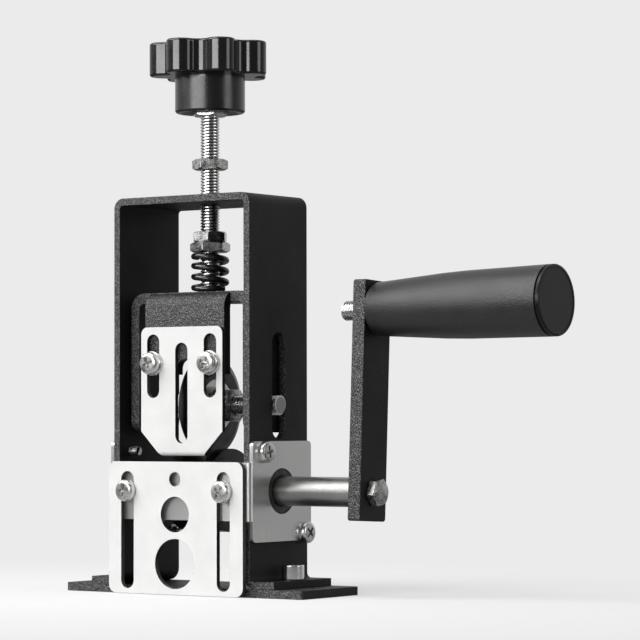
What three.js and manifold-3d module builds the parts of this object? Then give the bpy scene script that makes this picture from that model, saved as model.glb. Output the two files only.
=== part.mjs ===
// A wire stripper for the bench, turned by hand.
//
// One bent sheet stands on a base plate as an upside-down U. A cranked shaft crosses it low down and
// carries a grooved feed roller. Above the roller a round blade runs on a stud that a bent yoke holds,
// and a screw with a star knob presses the yoke down through a coil spring. A cable goes in through a
// hole of the guide plate and between roller and blade, and the blade slits its sheath lengthwise.
//
// Millimetres. X runs along the shaft towards the crank, -Y is the side where the cable goes in and
// Z is up. The origin is the middle of the base plate's underside.

import * as THREE from "three";
import { mergeVertices } from "three/addons/utils/BufferGeometryUtils.js";
import Module from "manifold-3d";

const wasm = await Module();
wasm.setup();

// Clearances and cutting allowances that the pieces share
const runningGap = 0.3;
const seatGap = 0.2;
const overrun = 2;

// How finely round shapes are cut into sides
const largeRound = 48;
const mediumRound = 32;
const smallRound = 20;
const cornerSteps = 5;

// Base plate, with a hole for a bench screw where it reaches past each foot
const baseOverhang = 13.8;
const baseThickness = 3.5;
const baseCornerRadius = 1.5;
const benchHoleDiameter = 6.5;

// Frame of one bent sheet: two feet, two legs and the top
const frameSheet = 3;
const frameWidth = 70;
const frameTopRadius = 4.5;
const footLength = 12;
const footBendRadius = 5;

// Socket screws that hold the feet down
const footScrewDiameter = 5;
const footScrewLength = 6;
const footScrewHeadDiameter = 9.3;
const footScrewHeadHeight = 6.1;
const footScrewGap = 0.25;

// Drive shaft, its bushes in the legs and its collars
const shaftDiameter = 12;
const shaftHeight = 42.4;
const shaftEndReach = 2;
const bushWall = 2;
const bushInnerReach = 1;
const bushFlangeRim = 1;
const bushFlangeThickness = 1.5;
const collarWall = 5;
const collarWidth = 7;

// Feed roller with its V groove and its grub screw
const rollerRadius = 17.2;
const rollerWidth = 22;
const rollerChamfer = 0.6;
const grooveWidth = 12;
const grooveDepth = 6;
const grooveFloorWidth = 1;
const grubDiameter = 3;
const grubSink = 0.6;

// Bracket of thin sheet round the front of the legs
const bracketSheet = 1.6;
const bracketHeight = 40.7;
const bracketRearReach = 0.4;
const bracketCornerRadius = 2;
const bracketBendRadius = 2;
const stripHeight = 23.6;

// Small pan-head screws that hold the bracket's cheeks
const cheekScrewDiameter = 4;
const cheekScrewHeadDiameter = 8.8;
const cheekScrewHeadHeight = 3;
const cheekScrewReach = 4;
const cheekScrewFrontInset = 7.7;
const cheekScrewRearInset = 4.2;
const cheekScrewTopDrop = 4.3;
const cheekScrewBottomDrop = 3.1;

// Guide plate: three holes for cables, with the webs above and below them, and two slots
const guideSideInset = 0.5;
const guideThickness = 2.2;
const guideAboveShaft = 12;
const guideCornerRadius = 3.5;
const guideHoleDiameters = [5.8, 14.5, 20.4];
const guideWebs = [4.25, 4.2, 2.65, 2.3];
const guideSlotWidth = 6.6;
const guideScrewInset = 7.3;
const guideSlotBottomWeb = 2;
const guideSlotTopWeb = 4;

// Pan-head screws and nuts that clamp the guide plate to the bracket
const guideScrewDiameter = 5;
const guideScrewLength = 10;
const guideScrewHeadDiameter = 9;
const guideScrewHeadHeight = 3;
const guideNutAcrossFlats = 8;
const guideNutHeight = 4;

// Round blade, the bearing in its boss and what holds them on the stud
const bladeRadius = 21.3;
const bladeThickness = 3;
const bladeBevel = 2.8;
const bladeEdge = 0.3;
const bladeDip = 3.6;
const bladeBossWall = 1.7;
const bearingDiameter = 22;
const bearingWidth = 7;
const spacerDiameter = 12;
const spacerLength = 1.9;
const washerDiameter = 16;
const washerThickness = 1.6;
const studDiameter = 8;
const studEndReach = 1;

// Hexagon nuts and bolt heads that fit the stud, the handle bolt and the adjusting screw
const hexAcrossFlats = 13;
const hexNutHeight = 6.5;

// Slots in the legs that guide the stud's ends
const legSlotSideGap = 0.5;
const legSlotBelow = 13.6;
const legSlotAbove = 29.7;

// Yoke of thick bent sheet: a top, two legs and a tongue in front
const yokeSheet = 4.2;
const yokeSideGap = 1;
const yokeDepth = 27;
const yokeRise = 46.7;
const yokeLegBelow = 11.1;
const yokeLegCornerRadius = 5;
const yokeBendRadius = 6.5;
const tongueInset = 10.6;
const tongueBottomAbove = 12.7;
const tongueNotchWidth = 8;
const tongueNotchClear = 2.5;

// Blade guard on the tongue, with a slot for the blade and two for its screws
const guardFrontGap = 0.4;
const guardRollerGap = 0.4;
const guardThickness = 2;
const guardSideReach = 0.6;
const guardAbove = 32.3;
const guardChamfer = 10;
const guardCornerRadius = 3;
const guardLipDepth = 2.6;
const guardBladeSlotWidth = 6.25;
const guardBladeSlotTopWeb = 6.6;
const guardBladeSlotClear = 3.4;
const guardBottomWeb = 5.2;
const guardScrewSlotWidth = 6.3;
const guardScrewSlotTopWeb = 3;
const guardScrewSlotLength = 26.1;
const guardScrewInset = 5.7;
const guardScrewDrop = 11.9;
const guardScrewDiameter = 5;
const guardScrewEndReach = 2;
const guardScrewHeadDiameter = 9;
const guardScrewHeadHeight = 3;
const guardWasherDiameter = 10;
const guardWasherThickness = 1;

// Pressure spring, wound left-handed, with flat ends
const springWire = 2.65;
const springInnerGap = 1.35;
const springHeight = 16.8;
const springTurns = 3.5;
const springFlatTurns = 0.25;
const springStepsPerTurn = 8;
const springSides = 5;

// Adjusting screw and the nuts on it
const screwDiameter = 8;
const screwKnobReach = 21.2;
const screwLowerReach = 4.5;
const springNutHeight = 4.3;
const springNutLowerAcrossFlats = 14.6;
const jamNutHeight = 4.5;
const jamNutAbove = 11.6;
const springNutHeadroom = 11.1;
const retainingWasherDiameter = 17;
const retainingWasherThickness = 1.6;

// Star knob: a lobed head on a round hub
const knobAbove = 35.3;
const knobHubDiameter = 29.1;
const knobHubHeight = 15.1;
const knobHubChamfer = 0.8;
const knobHeadHeight = 14;
const knobLobes = 7;
const knobLobeRadius = 6.2;
const knobLobeCentreRadius = 19;
const knobValleyRadius = 4;
const knobEdgeRadius = 1.4;
const knobRecessGap = 1;
const knobRecessDepth = 5.3;
const knobNutDrop = 1.5;
const knobTurnDegrees = -39.85;

// Crank: a flat arm, its bolt into the shaft and the grip that turns on its own bolt
const crankGap = 38.9;
const crankThickness = 6;
const crankWidth = 18.5;
const crankTailReach = 11.5;
const crankTipReach = 11.5;
const crankRadius = 73.2;
const crankCornerRadius = 1.2;
const crankLeanDegrees = 2.8;
const crankBoltDiameter = 6;
const crankBoltLength = 24;
const crankBoltAcrossFlats = 10;
const crankBoltHeadHeight = 4;
const handleTiltDegrees = 1.15;
const gripLength = 80.9;
const gripNeckRadius = 10.8;
const gripEndRadius = 14.1;
const gripEdgeRadius = 0.8;
const gripKneeShare = 0.46;
const gripKneeRadius = 13.35;
const capThickness = 1.5;
const capEdgeRadius = 0.5;
const capPlugLength = 1.5;
const handleBoltDiameter = 8;
const handleBoltEndReach = 9.2;
const handleBoltHeadHeight = 5.5;
const handleBoltPocketGap = 1;
const handleBoltEndGap = 0.8;

// Places that follow from the sizes above
const frameHalf = frameWidth / 2;
const frameInnerHalf = frameHalf - frameSheet;
const frameFront = -(rollerRadius + guardRollerGap + guardThickness + guardFrontGap);
const footTop = baseThickness + frameSheet;
const footInnerBend = footBendRadius - frameSheet;
const footScrewX = frameHalf + footInnerBend + footScrewHeadDiameter / 2 + footScrewGap;
const footEnd = frameHalf + footLength;
const baseHalf = footEnd + baseOverhang;
const bushDiameter = shaftDiameter + 2 * bushWall;
const bushFlangeDiameter = bushDiameter + 2 * bushFlangeRim;
const cheekFace = frameHalf + bracketSheet;
const stripFront = frameFront - bracketSheet;
const stripHalf = stripHeight / 2;
const bracketHalf = bracketHeight / 2;
const guideBack = stripFront - seatGap;
const guideFront = guideBack - guideThickness;
const guideSlotX = frameInnerHalf - guideScrewInset;
const guideTop = shaftHeight + guideAboveShaft;
const axleHeight = shaftHeight + rollerRadius + bladeRadius - bladeDip;
const yokeTop = axleHeight + yokeRise;
const yokeHalf = frameInnerHalf - yokeSideGap;
const tongueHalf = yokeHalf - tongueInset;
const guardFront = frameFront + guardFrontGap;
const guardBack = guardFront + guardThickness;
const guardTop = axleHeight + guardAbove;
const guardScrewX = tongueHalf - guardScrewInset;
const guardScrewHeight = guardTop - guardScrewSlotTopWeb - guardScrewDrop;
const springTop = yokeTop + springHeight;
const springOuterDiameter = screwDiameter + 2 * (springInnerGap + springWire);
const frameTop = springTop + 2 * springNutHeight + springNutHeadroom + frameSheet;
const knobBottom = frameTop + knobAbove;
const hexCorners = (2 * hexAcrossFlats) / Math.sqrt(3);
const crankFace = cheekFace + crankGap;

// Finishes
const blackPowder = { color: 0x2a2a2b, roughness: 0.65, metalness: 0.2 };
const whitePaint = { color: 0xe6e6e4, roughness: 0.45, metalness: 0.1 };
const brushedSteel = { color: 0xa6a6a4, roughness: 0.35, metalness: 1 };
const zincPlate = { color: 0xc4c4c0, roughness: 0.3, metalness: 1 };
const darkSteel = { color: 0x4a4a4a, roughness: 0.5, metalness: 1 };
const chrome = { color: 0xdadada, roughness: 0.12, metalness: 1 };
const bronze = { color: 0x3c3833, roughness: 0.6, metalness: 0.8 };
const blackGloss = { color: 0x0c0c0d, roughness: 0.15, metalness: 0 };
const blackSatin = { color: 0x161617, roughness: 0.4, metalness: 0 };

// A closed geometry as a solid that can be joined and cut, and a solid as a geometry again
function solidOf(geometry) {
  const bare = geometry.clone();
  bare.deleteAttribute("normal");
  bare.deleteAttribute("uv");
  const merged = mergeVertices(bare);
  const mesh = new wasm.Mesh({
    numProp: 3,
    vertProperties: merged.attributes.position.array,
    triVerts: new Uint32Array(merged.index.array),
  });
  return new wasm.Manifold(mesh);
}

function geometryOf(solid) {
  const mesh = solid.getMesh();
  const geometry = new THREE.BufferGeometry();
  geometry.setAttribute("position", new THREE.BufferAttribute(mesh.vertProperties, mesh.numProp));
  geometry.setIndex(new THREE.BufferAttribute(mesh.triVerts, 1));
  geometry.computeVertexNormals();
  return geometry;
}

function cut(body, tools) {
  return tools.reduce((rest, tool) => rest.subtract(tool), body);
}

// Points along an arc, both ends included
function arc(x, y, radius, from, to, steps) {
  return Array.from({ length: steps + 1 }, (_, i) => {
    const angle = from + ((to - from) * i) / steps;
    return new THREE.Vector2(x + radius * Math.cos(angle), y + radius * Math.sin(angle));
  });
}

function circle(x, y, diameter, sides) {
  return arc(x, y, diameter / 2, 0, 2 * Math.PI, sides).slice(0, -1);
}

// A slot with round ends that stands upright in its plane
function upright(x, bottom, top, width) {
  const radius = width / 2;
  const upper = arc(x, top - radius, radius, 0, Math.PI, smallRound / 2);
  const lower = arc(x, bottom + radius, radius, Math.PI, 2 * Math.PI, smallRound / 2);
  return [...upper, ...lower];
}

// An outline from corners [x, y, radius]; a corner without a radius stays sharp
function outline(corners) {
  return corners.flatMap(([x, y, radius = 0], i) => {
    const corner = new THREE.Vector2(x, y);
    if (radius === 0) return [corner];
    const [beforeX, beforeY] = corners.at(i - 1);
    const [afterX, afterY] = corners[(i + 1) % corners.length];
    const back = new THREE.Vector2(beforeX, beforeY).sub(corner).normalize();
    const ahead = new THREE.Vector2(afterX, afterY).sub(corner).normalize();
    const half = Math.acos(back.dot(ahead)) / 2;
    const middle = back.clone().add(ahead).normalize();
    const centre = corner.clone().addScaledVector(middle, radius / Math.sin(half));
    const start = corner.clone().addScaledVector(back, radius / Math.tan(half)).sub(centre);
    const turn = (Math.PI - 2 * half) * Math.sign(ahead.cross(back));
    return arc(centre.x, centre.y, radius, start.angle(), start.angle() + turn, cornerSteps);
  });
}

function box(left, right, bottom, top, radius = 0) {
  return outline([
    [left, bottom, radius],
    [right, bottom, radius],
    [right, top, radius],
    [left, top, radius],
  ]);
}

function hexagon(acrossFlats, turn = 0) {
  const radius = acrossFlats / Math.sqrt(3);
  return arc(0, 0, radius, turn, turn + 2 * Math.PI, 6).slice(0, -1);
}

// Solids drawn in a plane and drawn out along Z, along Y (in x and z) or along X (in y and z)
function drawn(points, holes, length) {
  const shape = new THREE.Shape(points);
  shape.holes = holes.map((hole) => new THREE.Path(hole));
  return new THREE.ExtrudeGeometry(shape, { depth: length, bevelEnabled: false });
}

function alongZ(points, from, to, holes = []) {
  return solidOf(drawn(points, holes, to - from).translate(0, 0, from));
}

function alongY(points, from, to, holes = []) {
  return solidOf(drawn(points, holes, to - from).rotateX(Math.PI / 2).translate(0, to, 0));
}

function alongX(points, from, to, holes = []) {
  const turned = drawn(points, holes, to - from).rotateX(Math.PI / 2).rotateZ(Math.PI / 2);
  return solidOf(turned.translate(from, 0, 0));
}

// Solids of revolution from a profile of [radius, height], about Z and about X
function turnedZ(profile, sides) {
  const points = profile.map(([radius, height]) => new THREE.Vector2(radius, height));
  return solidOf(new THREE.LatheGeometry(points, sides).rotateX(Math.PI / 2));
}

function turnedX(profile, sides) {
  const points = profile.map(([radius, height]) => new THREE.Vector2(radius, height));
  return solidOf(new THREE.LatheGeometry(points, sides).rotateZ(-Math.PI / 2));
}

// A ring or tube profile with its bore
function ring(boreDiameter, outerDiameter, from, to) {
  const inner = boreDiameter / 2;
  const outer = outerDiameter / 2;
  return [
    [inner, from],
    [outer, from],
    [outer, to],
    [inner, to],
    [inner, from],
  ];
}

// A round bar profile from its axis
function bar(diameter, from, to) {
  const radius = diameter / 2;
  return [
    [0, from],
    [radius, from],
    [radius, to],
    [0, to],
  ];
}

const part = new THREE.Group();

function piece(name, solid, finish, parent = part) {
  const mesh = new THREE.Mesh(geometryOf(solid), new THREE.MeshStandardMaterial(finish));
  mesh.name = name;
  parent.add(mesh);
  return mesh;
}

// The pieces that both sides share as mirror images
const sides = [
  { side: "left", sign: -1 },
  { side: "right", sign: 1 },
];

function basePlate() {
  const holeX = (footEnd + baseHalf) / 2;
  const plan = box(-baseHalf, baseHalf, frameFront, -frameFront, baseCornerRadius);
  const holes = sides.flatMap(({ sign }) => [
    circle(sign * holeX, 0, benchHoleDiameter, smallRound),
    circle(sign * footScrewX, 0, footScrewDiameter + 2 * runningGap, smallRound),
  ]);
  piece("base_plate", alongZ(plan, 0, baseThickness, holes), blackPowder);
}

function frame() {
  const half = [
    [frameInnerHalf, baseThickness, footBendRadius],
    [footEnd, baseThickness],
    [footEnd, footTop],
    [frameHalf, footTop, footInnerBend],
    [frameHalf, frameTop, frameTopRadius],
  ];
  const inside = [frameInnerHalf, frameTop - frameSheet, frameTopRadius - frameSheet];
  const mirrored = [...half, inside].map(([x, z, radius]) => [-x, z, radius]);
  const profile = outline([...half, ...mirrored.slice(0, -1).reverse(), mirrored.at(-1), inside]);
  const sheet = alongY(profile, frameFront, -frameFront);
  const shaftBore = circle(0, shaftHeight, bushDiameter + 2 * runningGap, mediumRound);
  const slotWidth = studDiameter + 2 * legSlotSideGap;
  const axleSlot = upright(0, axleHeight - legSlotBelow, axleHeight + legSlotAbove, slotWidth);
  const across = frameHalf + overrun;
  const screwBores = cheekScrewPlaces().map(([y, z]) =>
    alongX(circle(y, z, cheekScrewDiameter + 2 * runningGap, smallRound), -across, across),
  );
  const footBores = sides.map(({ sign }) => {
    const hole = circle(sign * footScrewX, 0, footScrewDiameter + 2 * runningGap, smallRound);
    return alongZ(hole, 0, footTop + overrun);
  });
  const topBore = circle(0, 0, screwDiameter + 2 * runningGap, smallRound);
  const tools = [
    alongX(shaftBore, -across, across),
    alongX(axleSlot, -across, across),
    alongZ(topBore, frameTop - frameSheet - overrun, frameTop + overrun),
    ...screwBores,
    ...footBores,
  ];
  piece("u_frame", cut(sheet, tools), blackPowder);
}

function footScrews() {
  const shank = footScrewDiameter / 2;
  const head = footScrewHeadDiameter / 2;
  const profile = [
    [0, -footScrewLength],
    [shank, -footScrewLength],
    [shank, 0],
    [head, 0],
    [head, footScrewHeadHeight],
    [0, footScrewHeadHeight],
  ];
  for (const { side, sign } of sides) {
    const screw = piece("foot_screw_" + side, turnedZ(profile, smallRound), chrome);
    screw.position.set(sign * footScrewX, 0, footTop);
  }
}

function bushes() {
  const bore = shaftDiameter / 2 + runningGap;
  const profile = [
    [bore, -frameSheet - bushInnerReach],
    [bushDiameter / 2, -frameSheet - bushInnerReach],
    [bushDiameter / 2, 0],
    [bushFlangeDiameter / 2, 0],
    [bushFlangeDiameter / 2, bushFlangeThickness],
    [bore, bushFlangeThickness],
    [bore, -frameSheet - bushInnerReach],
  ];
  for (const { side, sign } of sides) {
    const bush = piece("bush_" + side, turnedX(profile, mediumRound), bronze);
    bush.position.set(sign * frameHalf, 0, shaftHeight);
    bush.rotation.z = sign > 0 ? 0 : Math.PI;
  }
}

// The cheeks' screws sit near the front top corner and the rear bottom corner
function cheekScrewPlaces() {
  const front = frameFront + cheekScrewFrontInset;
  const rear = -frameFront - cheekScrewRearInset;
  const upper = shaftHeight + bracketHalf - cheekScrewTopDrop;
  const lower = shaftHeight - bracketHalf + cheekScrewBottomDrop;
  return [
    [front, upper],
    [rear, lower],
  ];
}

function wrapBracket() {
  const rear = -frameFront + bracketRearReach;
  const low = shaftHeight - bracketHalf;
  const high = shaftHeight + bracketHalf;
  const cheek = box(frameFront, rear, low, high, bracketCornerRadius);
  const strip = box(stripFront, rear / 2, shaftHeight - stripHalf, shaftHeight + stripHalf);
  const plan = outline([
    [-cheekFace, stripFront, bracketBendRadius],
    [cheekFace, stripFront, bracketBendRadius],
    [cheekFace, rear],
    [frameHalf, rear],
    [frameHalf, frameFront],
    [-frameHalf, frameFront],
    [-frameHalf, rear],
    [-cheekFace, rear],
  ]);
  const across = cheekFace + overrun;
  const front = alongX(cheek, -across, across).add(alongX(strip, -across, across));
  const bent = front.intersect(alongZ(plan, low - overrun, high + overrun));
  const bushHole = circle(0, shaftHeight, bushFlangeDiameter + 2 * runningGap, mediumRound);
  const screwBores = cheekScrewPlaces().map(([y, z]) =>
    alongX(circle(y, z, cheekScrewDiameter + 2 * runningGap, smallRound), -across, across),
  );
  const guideBores = sides.map(({ sign }) => {
    const hole = circle(sign * guideSlotX, shaftHeight, guideScrewDiameter + 2 * runningGap, smallRound);
    return alongY(hole, stripFront - overrun, frameFront + overrun);
  });
  const tools = [alongX(bushHole, -across, across), ...screwBores, ...guideBores];
  piece("wrap_bracket", cut(bent, tools), brushedSteel);
}

// A pan-head screw along Z: the head stands on z = 0 and the shank hangs below
function panScrew(diameter, length, headDiameter, headHeight) {
  const radius = headDiameter / 2;
  const crown = radius / 2;
  const shoulder = headHeight / 2;
  const profile = [
    [0, -length],
    [diameter / 2, -length],
    [diameter / 2, 0],
    [radius, 0],
    [radius, shoulder],
    [(radius + crown) / 2, headHeight - shoulder / 4],
    [crown, headHeight],
    [0, headHeight],
  ];
  return turnedZ(profile, smallRound);
}

function cheekScrews() {
  const length = bracketSheet + frameSheet + cheekScrewReach;
  const screw = panScrew(cheekScrewDiameter, length, cheekScrewHeadDiameter, cheekScrewHeadHeight);
  const [upper, lower] = cheekScrewPlaces();
  for (const { side, sign } of sides) {
    for (const [height, [y, z]] of [["upper", upper], ["lower", lower]]) {
      const mesh = piece("bracket_screw_" + side + "_" + height, screw, zincPlate);
      mesh.position.set(sign * cheekFace, y, z);
      mesh.rotation.y = (sign * Math.PI) / 2;
    }
  }
}

// The guide plate's holes hang below one another with a web above each
function guideHoles() {
  let edge = guideTop;
  return guideHoleDiameters.map((diameter, i) => {
    const height = edge - guideWebs[i] - diameter / 2;
    edge = height - diameter / 2;
    return { diameter, height };
  });
}

function guidePlate() {
  const places = guideHoles();
  const last = places.at(-1);
  const bottom = last.height - last.diameter / 2 - guideWebs.at(-1);
  const half = frameHalf - guideSideInset;
  const face = box(-half, half, bottom, guideTop, guideCornerRadius);
  const holes = places.map(({ diameter, height }) => circle(0, height, diameter, mediumRound));
  const slots = sides.map(({ sign }) =>
    upright(sign * guideSlotX, bottom + guideSlotBottomWeb, guideTop - guideSlotTopWeb, guideSlotWidth),
  );
  piece("guide_plate", alongY(face, guideFront, guideBack, [...holes, ...slots]), whitePaint);
}

function guideScrews() {
  const screw = panScrew(guideScrewDiameter, guideScrewLength, guideScrewHeadDiameter, guideScrewHeadHeight);
  const bore = circle(0, 0, guideScrewDiameter + 2 * runningGap, smallRound);
  const nut = alongZ(hexagon(guideNutAcrossFlats), 0, guideNutHeight, [bore]);
  for (const { side, sign } of sides) {
    const screwMesh = piece("guide_screw_" + side, screw, zincPlate);
    screwMesh.position.set(sign * guideSlotX, guideFront - seatGap, shaftHeight);
    screwMesh.rotation.x = Math.PI / 2;
    const nutMesh = piece("guide_nut_" + side, nut, zincPlate);
    nutMesh.position.set(sign * guideSlotX, frameFront + guideNutHeight, shaftHeight);
    nutMesh.rotation.x = Math.PI / 2;
  }
}

// The pressure spring: one unbroken left-handed tube with a flat stretch at each end
function springPoint(turn) {
  const rising = springTurns - 2 * springFlatTurns;
  const climb = THREE.MathUtils.clamp((turn - springFlatTurns) / rising, 0, 1);
  const radius = (springOuterDiameter - springWire) / 2;
  const angle = -2 * Math.PI * turn;
  const lowest = seatGap + springWire / 2;
  const rise = springHeight - 2 * lowest;
  return new THREE.Vector3(radius * Math.cos(angle), radius * Math.sin(angle), lowest + climb * rise);
}

function springSolid() {
  const steps = Math.round(springTurns * springStepsPerTurn);
  const centres = Array.from({ length: steps + 1 }, (_, i) => springPoint((i / steps) * springTurns));
  const positions = [];
  centres.forEach((centre, i) => {
    const before = centres[Math.max(i - 1, 0)];
    const after = centres[Math.min(i + 1, steps)];
    const forward = after.clone().sub(before).normalize();
    const outward = new THREE.Vector3(centre.x, centre.y, 0).normalize();
    const side = new THREE.Vector3().crossVectors(forward, outward).normalize();
    const out = new THREE.Vector3().crossVectors(side, forward);
    for (let k = 0; k < springSides; k += 1) {
      const angle = (2 * Math.PI * k) / springSides;
      const point = centre.clone();
      point.addScaledVector(out, (springWire / 2) * Math.cos(angle));
      point.addScaledVector(side, (springWire / 2) * Math.sin(angle));
      positions.push(point.x, point.y, point.z);
    }
  });
  const index = [];
  for (let i = 0; i < steps; i += 1) {
    for (let k = 0; k < springSides; k += 1) {
      const a = i * springSides + k;
      const b = i * springSides + ((k + 1) % springSides);
      index.push(a, b, a + springSides, b, b + springSides, a + springSides);
    }
  }
  const end = steps * springSides;
  for (let k = 1; k < springSides - 1; k += 1) {
    index.push(0, k + 1, k);
    index.push(end, end + k, end + k + 1);
  }
  const geometry = new THREE.BufferGeometry();
  geometry.setAttribute("position", new THREE.Float32BufferAttribute(positions, 3));
  geometry.setIndex(index);
  return solidOf(geometry);
}

// The least gap between strands of the spring that lie at least half a turn apart
function springGap() {
  const steps = Math.round(springTurns * springStepsPerTurn) * springStepsPerTurn;
  const points = Array.from({ length: steps + 1 }, (_, i) => springPoint((i / steps) * springTurns));
  const apart = Math.round(steps / springTurns / 2);
  let least = Infinity;
  points.forEach((point, i) => {
    for (let j = i + apart; j < points.length; j += 1) {
      least = Math.min(least, point.distanceTo(points[j]) - springWire);
    }
  });
  return least;
}

function pressureSpring() {
  const spring = piece("pressure_spring", springSolid(), blackGloss);
  spring.position.z = yokeTop;
  console.log("pressure_spring: least gap to itself " + springGap().toFixed(2) + " mm");
}

// How far above and below its axle the blade's rim crosses an upright plane at y
function bladeReach(y) {
  return Math.sqrt(Math.max(bladeRadius ** 2 - y ** 2, 0));
}

function yoke() {
  const bottom = axleHeight - yokeLegBelow;
  const innerBend = yokeBendRadius - yokeSheet;
  const innerHalf = yokeHalf - yokeSheet;
  const under = yokeTop - yokeSheet;
  const arch = outline([
    [yokeHalf, bottom],
    [yokeHalf, yokeTop, yokeBendRadius],
    [-yokeHalf, yokeTop, yokeBendRadius],
    [-yokeHalf, bottom],
    [-innerHalf, bottom],
    [-innerHalf, under, innerBend],
    [innerHalf, under, innerBend],
    [innerHalf, bottom],
  ]);
  const depthHalf = yokeDepth / 2;
  const legs = box(-depthHalf, depthHalf, bottom, yokeTop + yokeLegCornerRadius, yokeLegCornerRadius);
  const reach = yokeHalf + overrun;
  const bent = alongY(arch, -depthHalf, depthHalf).intersect(alongX(legs, -reach, reach));
  const tongueBottom = axleHeight + tongueBottomAbove;
  const tongueBack = guardBack + yokeSheet;
  const lip = outline([
    [guardBack, tongueBottom],
    [tongueBack, tongueBottom],
    [tongueBack, under, innerBend],
    [0, under],
    [0, yokeTop],
    [guardBack, yokeTop, yokeBendRadius],
  ]);
  const body = bent.add(alongX(lip, -tongueHalf, tongueHalf));
  const notchTop = axleHeight + bladeReach(tongueBack) + tongueNotchClear;
  const notch = upright(0, tongueBottom - tongueNotchWidth, notchTop, tongueNotchWidth);
  const studBore = circle(0, axleHeight, studDiameter + 2 * runningGap, smallRound);
  const screwBore = circle(0, 0, screwDiameter + 2 * runningGap, smallRound);
  const guardBores = sides.map(({ sign }) => {
    const diameter = guardScrewDiameter + 2 * runningGap;
    const hole = circle(sign * guardScrewX, guardScrewHeight, diameter, smallRound);
    return alongY(hole, guardBack - overrun, tongueBack + overrun);
  });
  const tools = [
    alongY(notch, guardBack - overrun, tongueBack + overrun),
    alongX(studBore, -reach, reach),
    alongZ(screwBore, under - overrun, yokeTop + overrun),
    ...guardBores,
  ];
  piece("yoke", cut(body, tools), blackPowder);
}

function bladeGuard() {
  const half = tongueHalf + guardSideReach;
  const bladeSlotBottom = axleHeight - bladeReach(guardBack) - guardBladeSlotClear;
  const bottom = bladeSlotBottom - guardBottomWeb;
  const sheetEnd = bottom + guardThickness;
  const chamferTop = bottom + guardChamfer;
  const lipHalf = half - guardChamfer;
  const face = outline([
    [-lipHalf - guardThickness, sheetEnd],
    [lipHalf + guardThickness, sheetEnd],
    [half, chamferTop],
    [half, guardTop, guardCornerRadius],
    [-half, guardTop, guardCornerRadius],
    [-half, chamferTop],
  ]);
  const bladeSlot = upright(0, bladeSlotBottom, guardTop - guardBladeSlotTopWeb, guardBladeSlotWidth);
  const screwSlotTop = guardTop - guardScrewSlotTopWeb;
  const screwSlots = sides.map(({ sign }) =>
    upright(sign * guardScrewX, screwSlotTop - guardScrewSlotLength, screwSlotTop, guardScrewSlotWidth),
  );
  const sheet = alongY(face, guardFront, guardBack, [bladeSlot, ...screwSlots]);
  const lipEnd = guardBack + guardLipDepth;
  const lip = outline([
    [guardFront, sheetEnd + guardThickness],
    [guardFront, bottom, guardThickness],
    [lipEnd, bottom],
    [lipEnd, sheetEnd],
    [guardBack, sheetEnd],
    [guardBack, sheetEnd + guardThickness],
  ]);
  const chamfers = outline([
    [-lipHalf, bottom],
    [lipHalf, bottom],
    [half, chamferTop],
    [-half, chamferTop],
  ]);
  const turnedBack = alongX(lip, -half, half).intersect(alongY(chamfers, guardFront, lipEnd));
  piece("blade_guard", sheet.add(turnedBack), whitePaint);
}

function guardScrews() {
  const length = guardWasherThickness + guardThickness + yokeSheet + guardScrewEndReach;
  const screw = panScrew(guardScrewDiameter, length, guardScrewHeadDiameter, guardScrewHeadHeight);
  const bore = guardScrewDiameter + 2 * runningGap;
  const washer = turnedZ(ring(bore, guardWasherDiameter, 0, guardWasherThickness), smallRound);
  for (const { side, sign } of sides) {
    const washerMesh = piece("guard_washer_" + side, washer, zincPlate);
    washerMesh.position.set(sign * guardScrewX, guardFront, guardScrewHeight);
    washerMesh.rotation.x = Math.PI / 2;
    const screwMesh = piece("guard_screw_" + side, screw, zincPlate);
    screwMesh.position.set(sign * guardScrewX, guardFront - guardWasherThickness, guardScrewHeight);
    screwMesh.rotation.x = Math.PI / 2;
  }
}

// The blade, its bearing and the spacers, washers and nuts that hold them on the stud
function bladeSet() {
  const set = new THREE.Group();
  set.position.z = axleHeight;
  part.add(set);
  const reach = frameHalf + studEndReach;
  piece("axle_stud", turnedX(bar(studDiameter, -reach, reach), smallRound), zincPlate, set);
  const halfBlade = bladeThickness / 2;
  const halfBoss = bearingWidth / 2;
  const bore = bearingDiameter / 2 + runningGap;
  const boss = bore + bladeBossWall;
  const profile = [
    [bore, -halfBoss],
    [boss, -halfBoss],
    [boss, -halfBlade],
    [bladeRadius - bladeBevel, -halfBlade],
    [bladeRadius, -bladeEdge / 2],
    [bladeRadius, bladeEdge / 2],
    [bladeRadius - bladeBevel, halfBlade],
    [boss, halfBlade],
    [boss, halfBoss],
    [bore, halfBoss],
    [bore, -halfBoss],
  ];
  piece("blade_disc", turnedX(profile, largeRound), darkSteel, set);
  const studBore = studDiameter + 2 * runningGap;
  const bearing = ring(studBore, bearingDiameter, -halfBoss, halfBoss);
  piece("blade_bearing", turnedX(bearing, mediumRound), brushedSteel, set);
  const spacerEnd = halfBoss + spacerLength;
  const washerEnd = spacerEnd + washerThickness;
  const spacer = turnedX(ring(studBore, spacerDiameter, halfBoss, spacerEnd), smallRound);
  const washer = turnedX(ring(studBore, washerDiameter, spacerEnd, washerEnd), smallRound);
  const hexBore = circle(0, 0, studBore, smallRound);
  const nut = alongX(hexagon(hexAcrossFlats, Math.PI / 6), washerEnd, washerEnd + hexNutHeight, [hexBore]);
  for (const { side, sign } of sides) {
    const turn = sign > 0 ? 0 : Math.PI;
    piece("axle_spacer_" + side, spacer, zincPlate, set).rotation.z = turn;
    piece("axle_washer_" + side, washer, zincPlate, set).rotation.z = turn;
    piece("axle_nut_" + side, nut, zincPlate, set).rotation.z = turn;
  }
}

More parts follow.
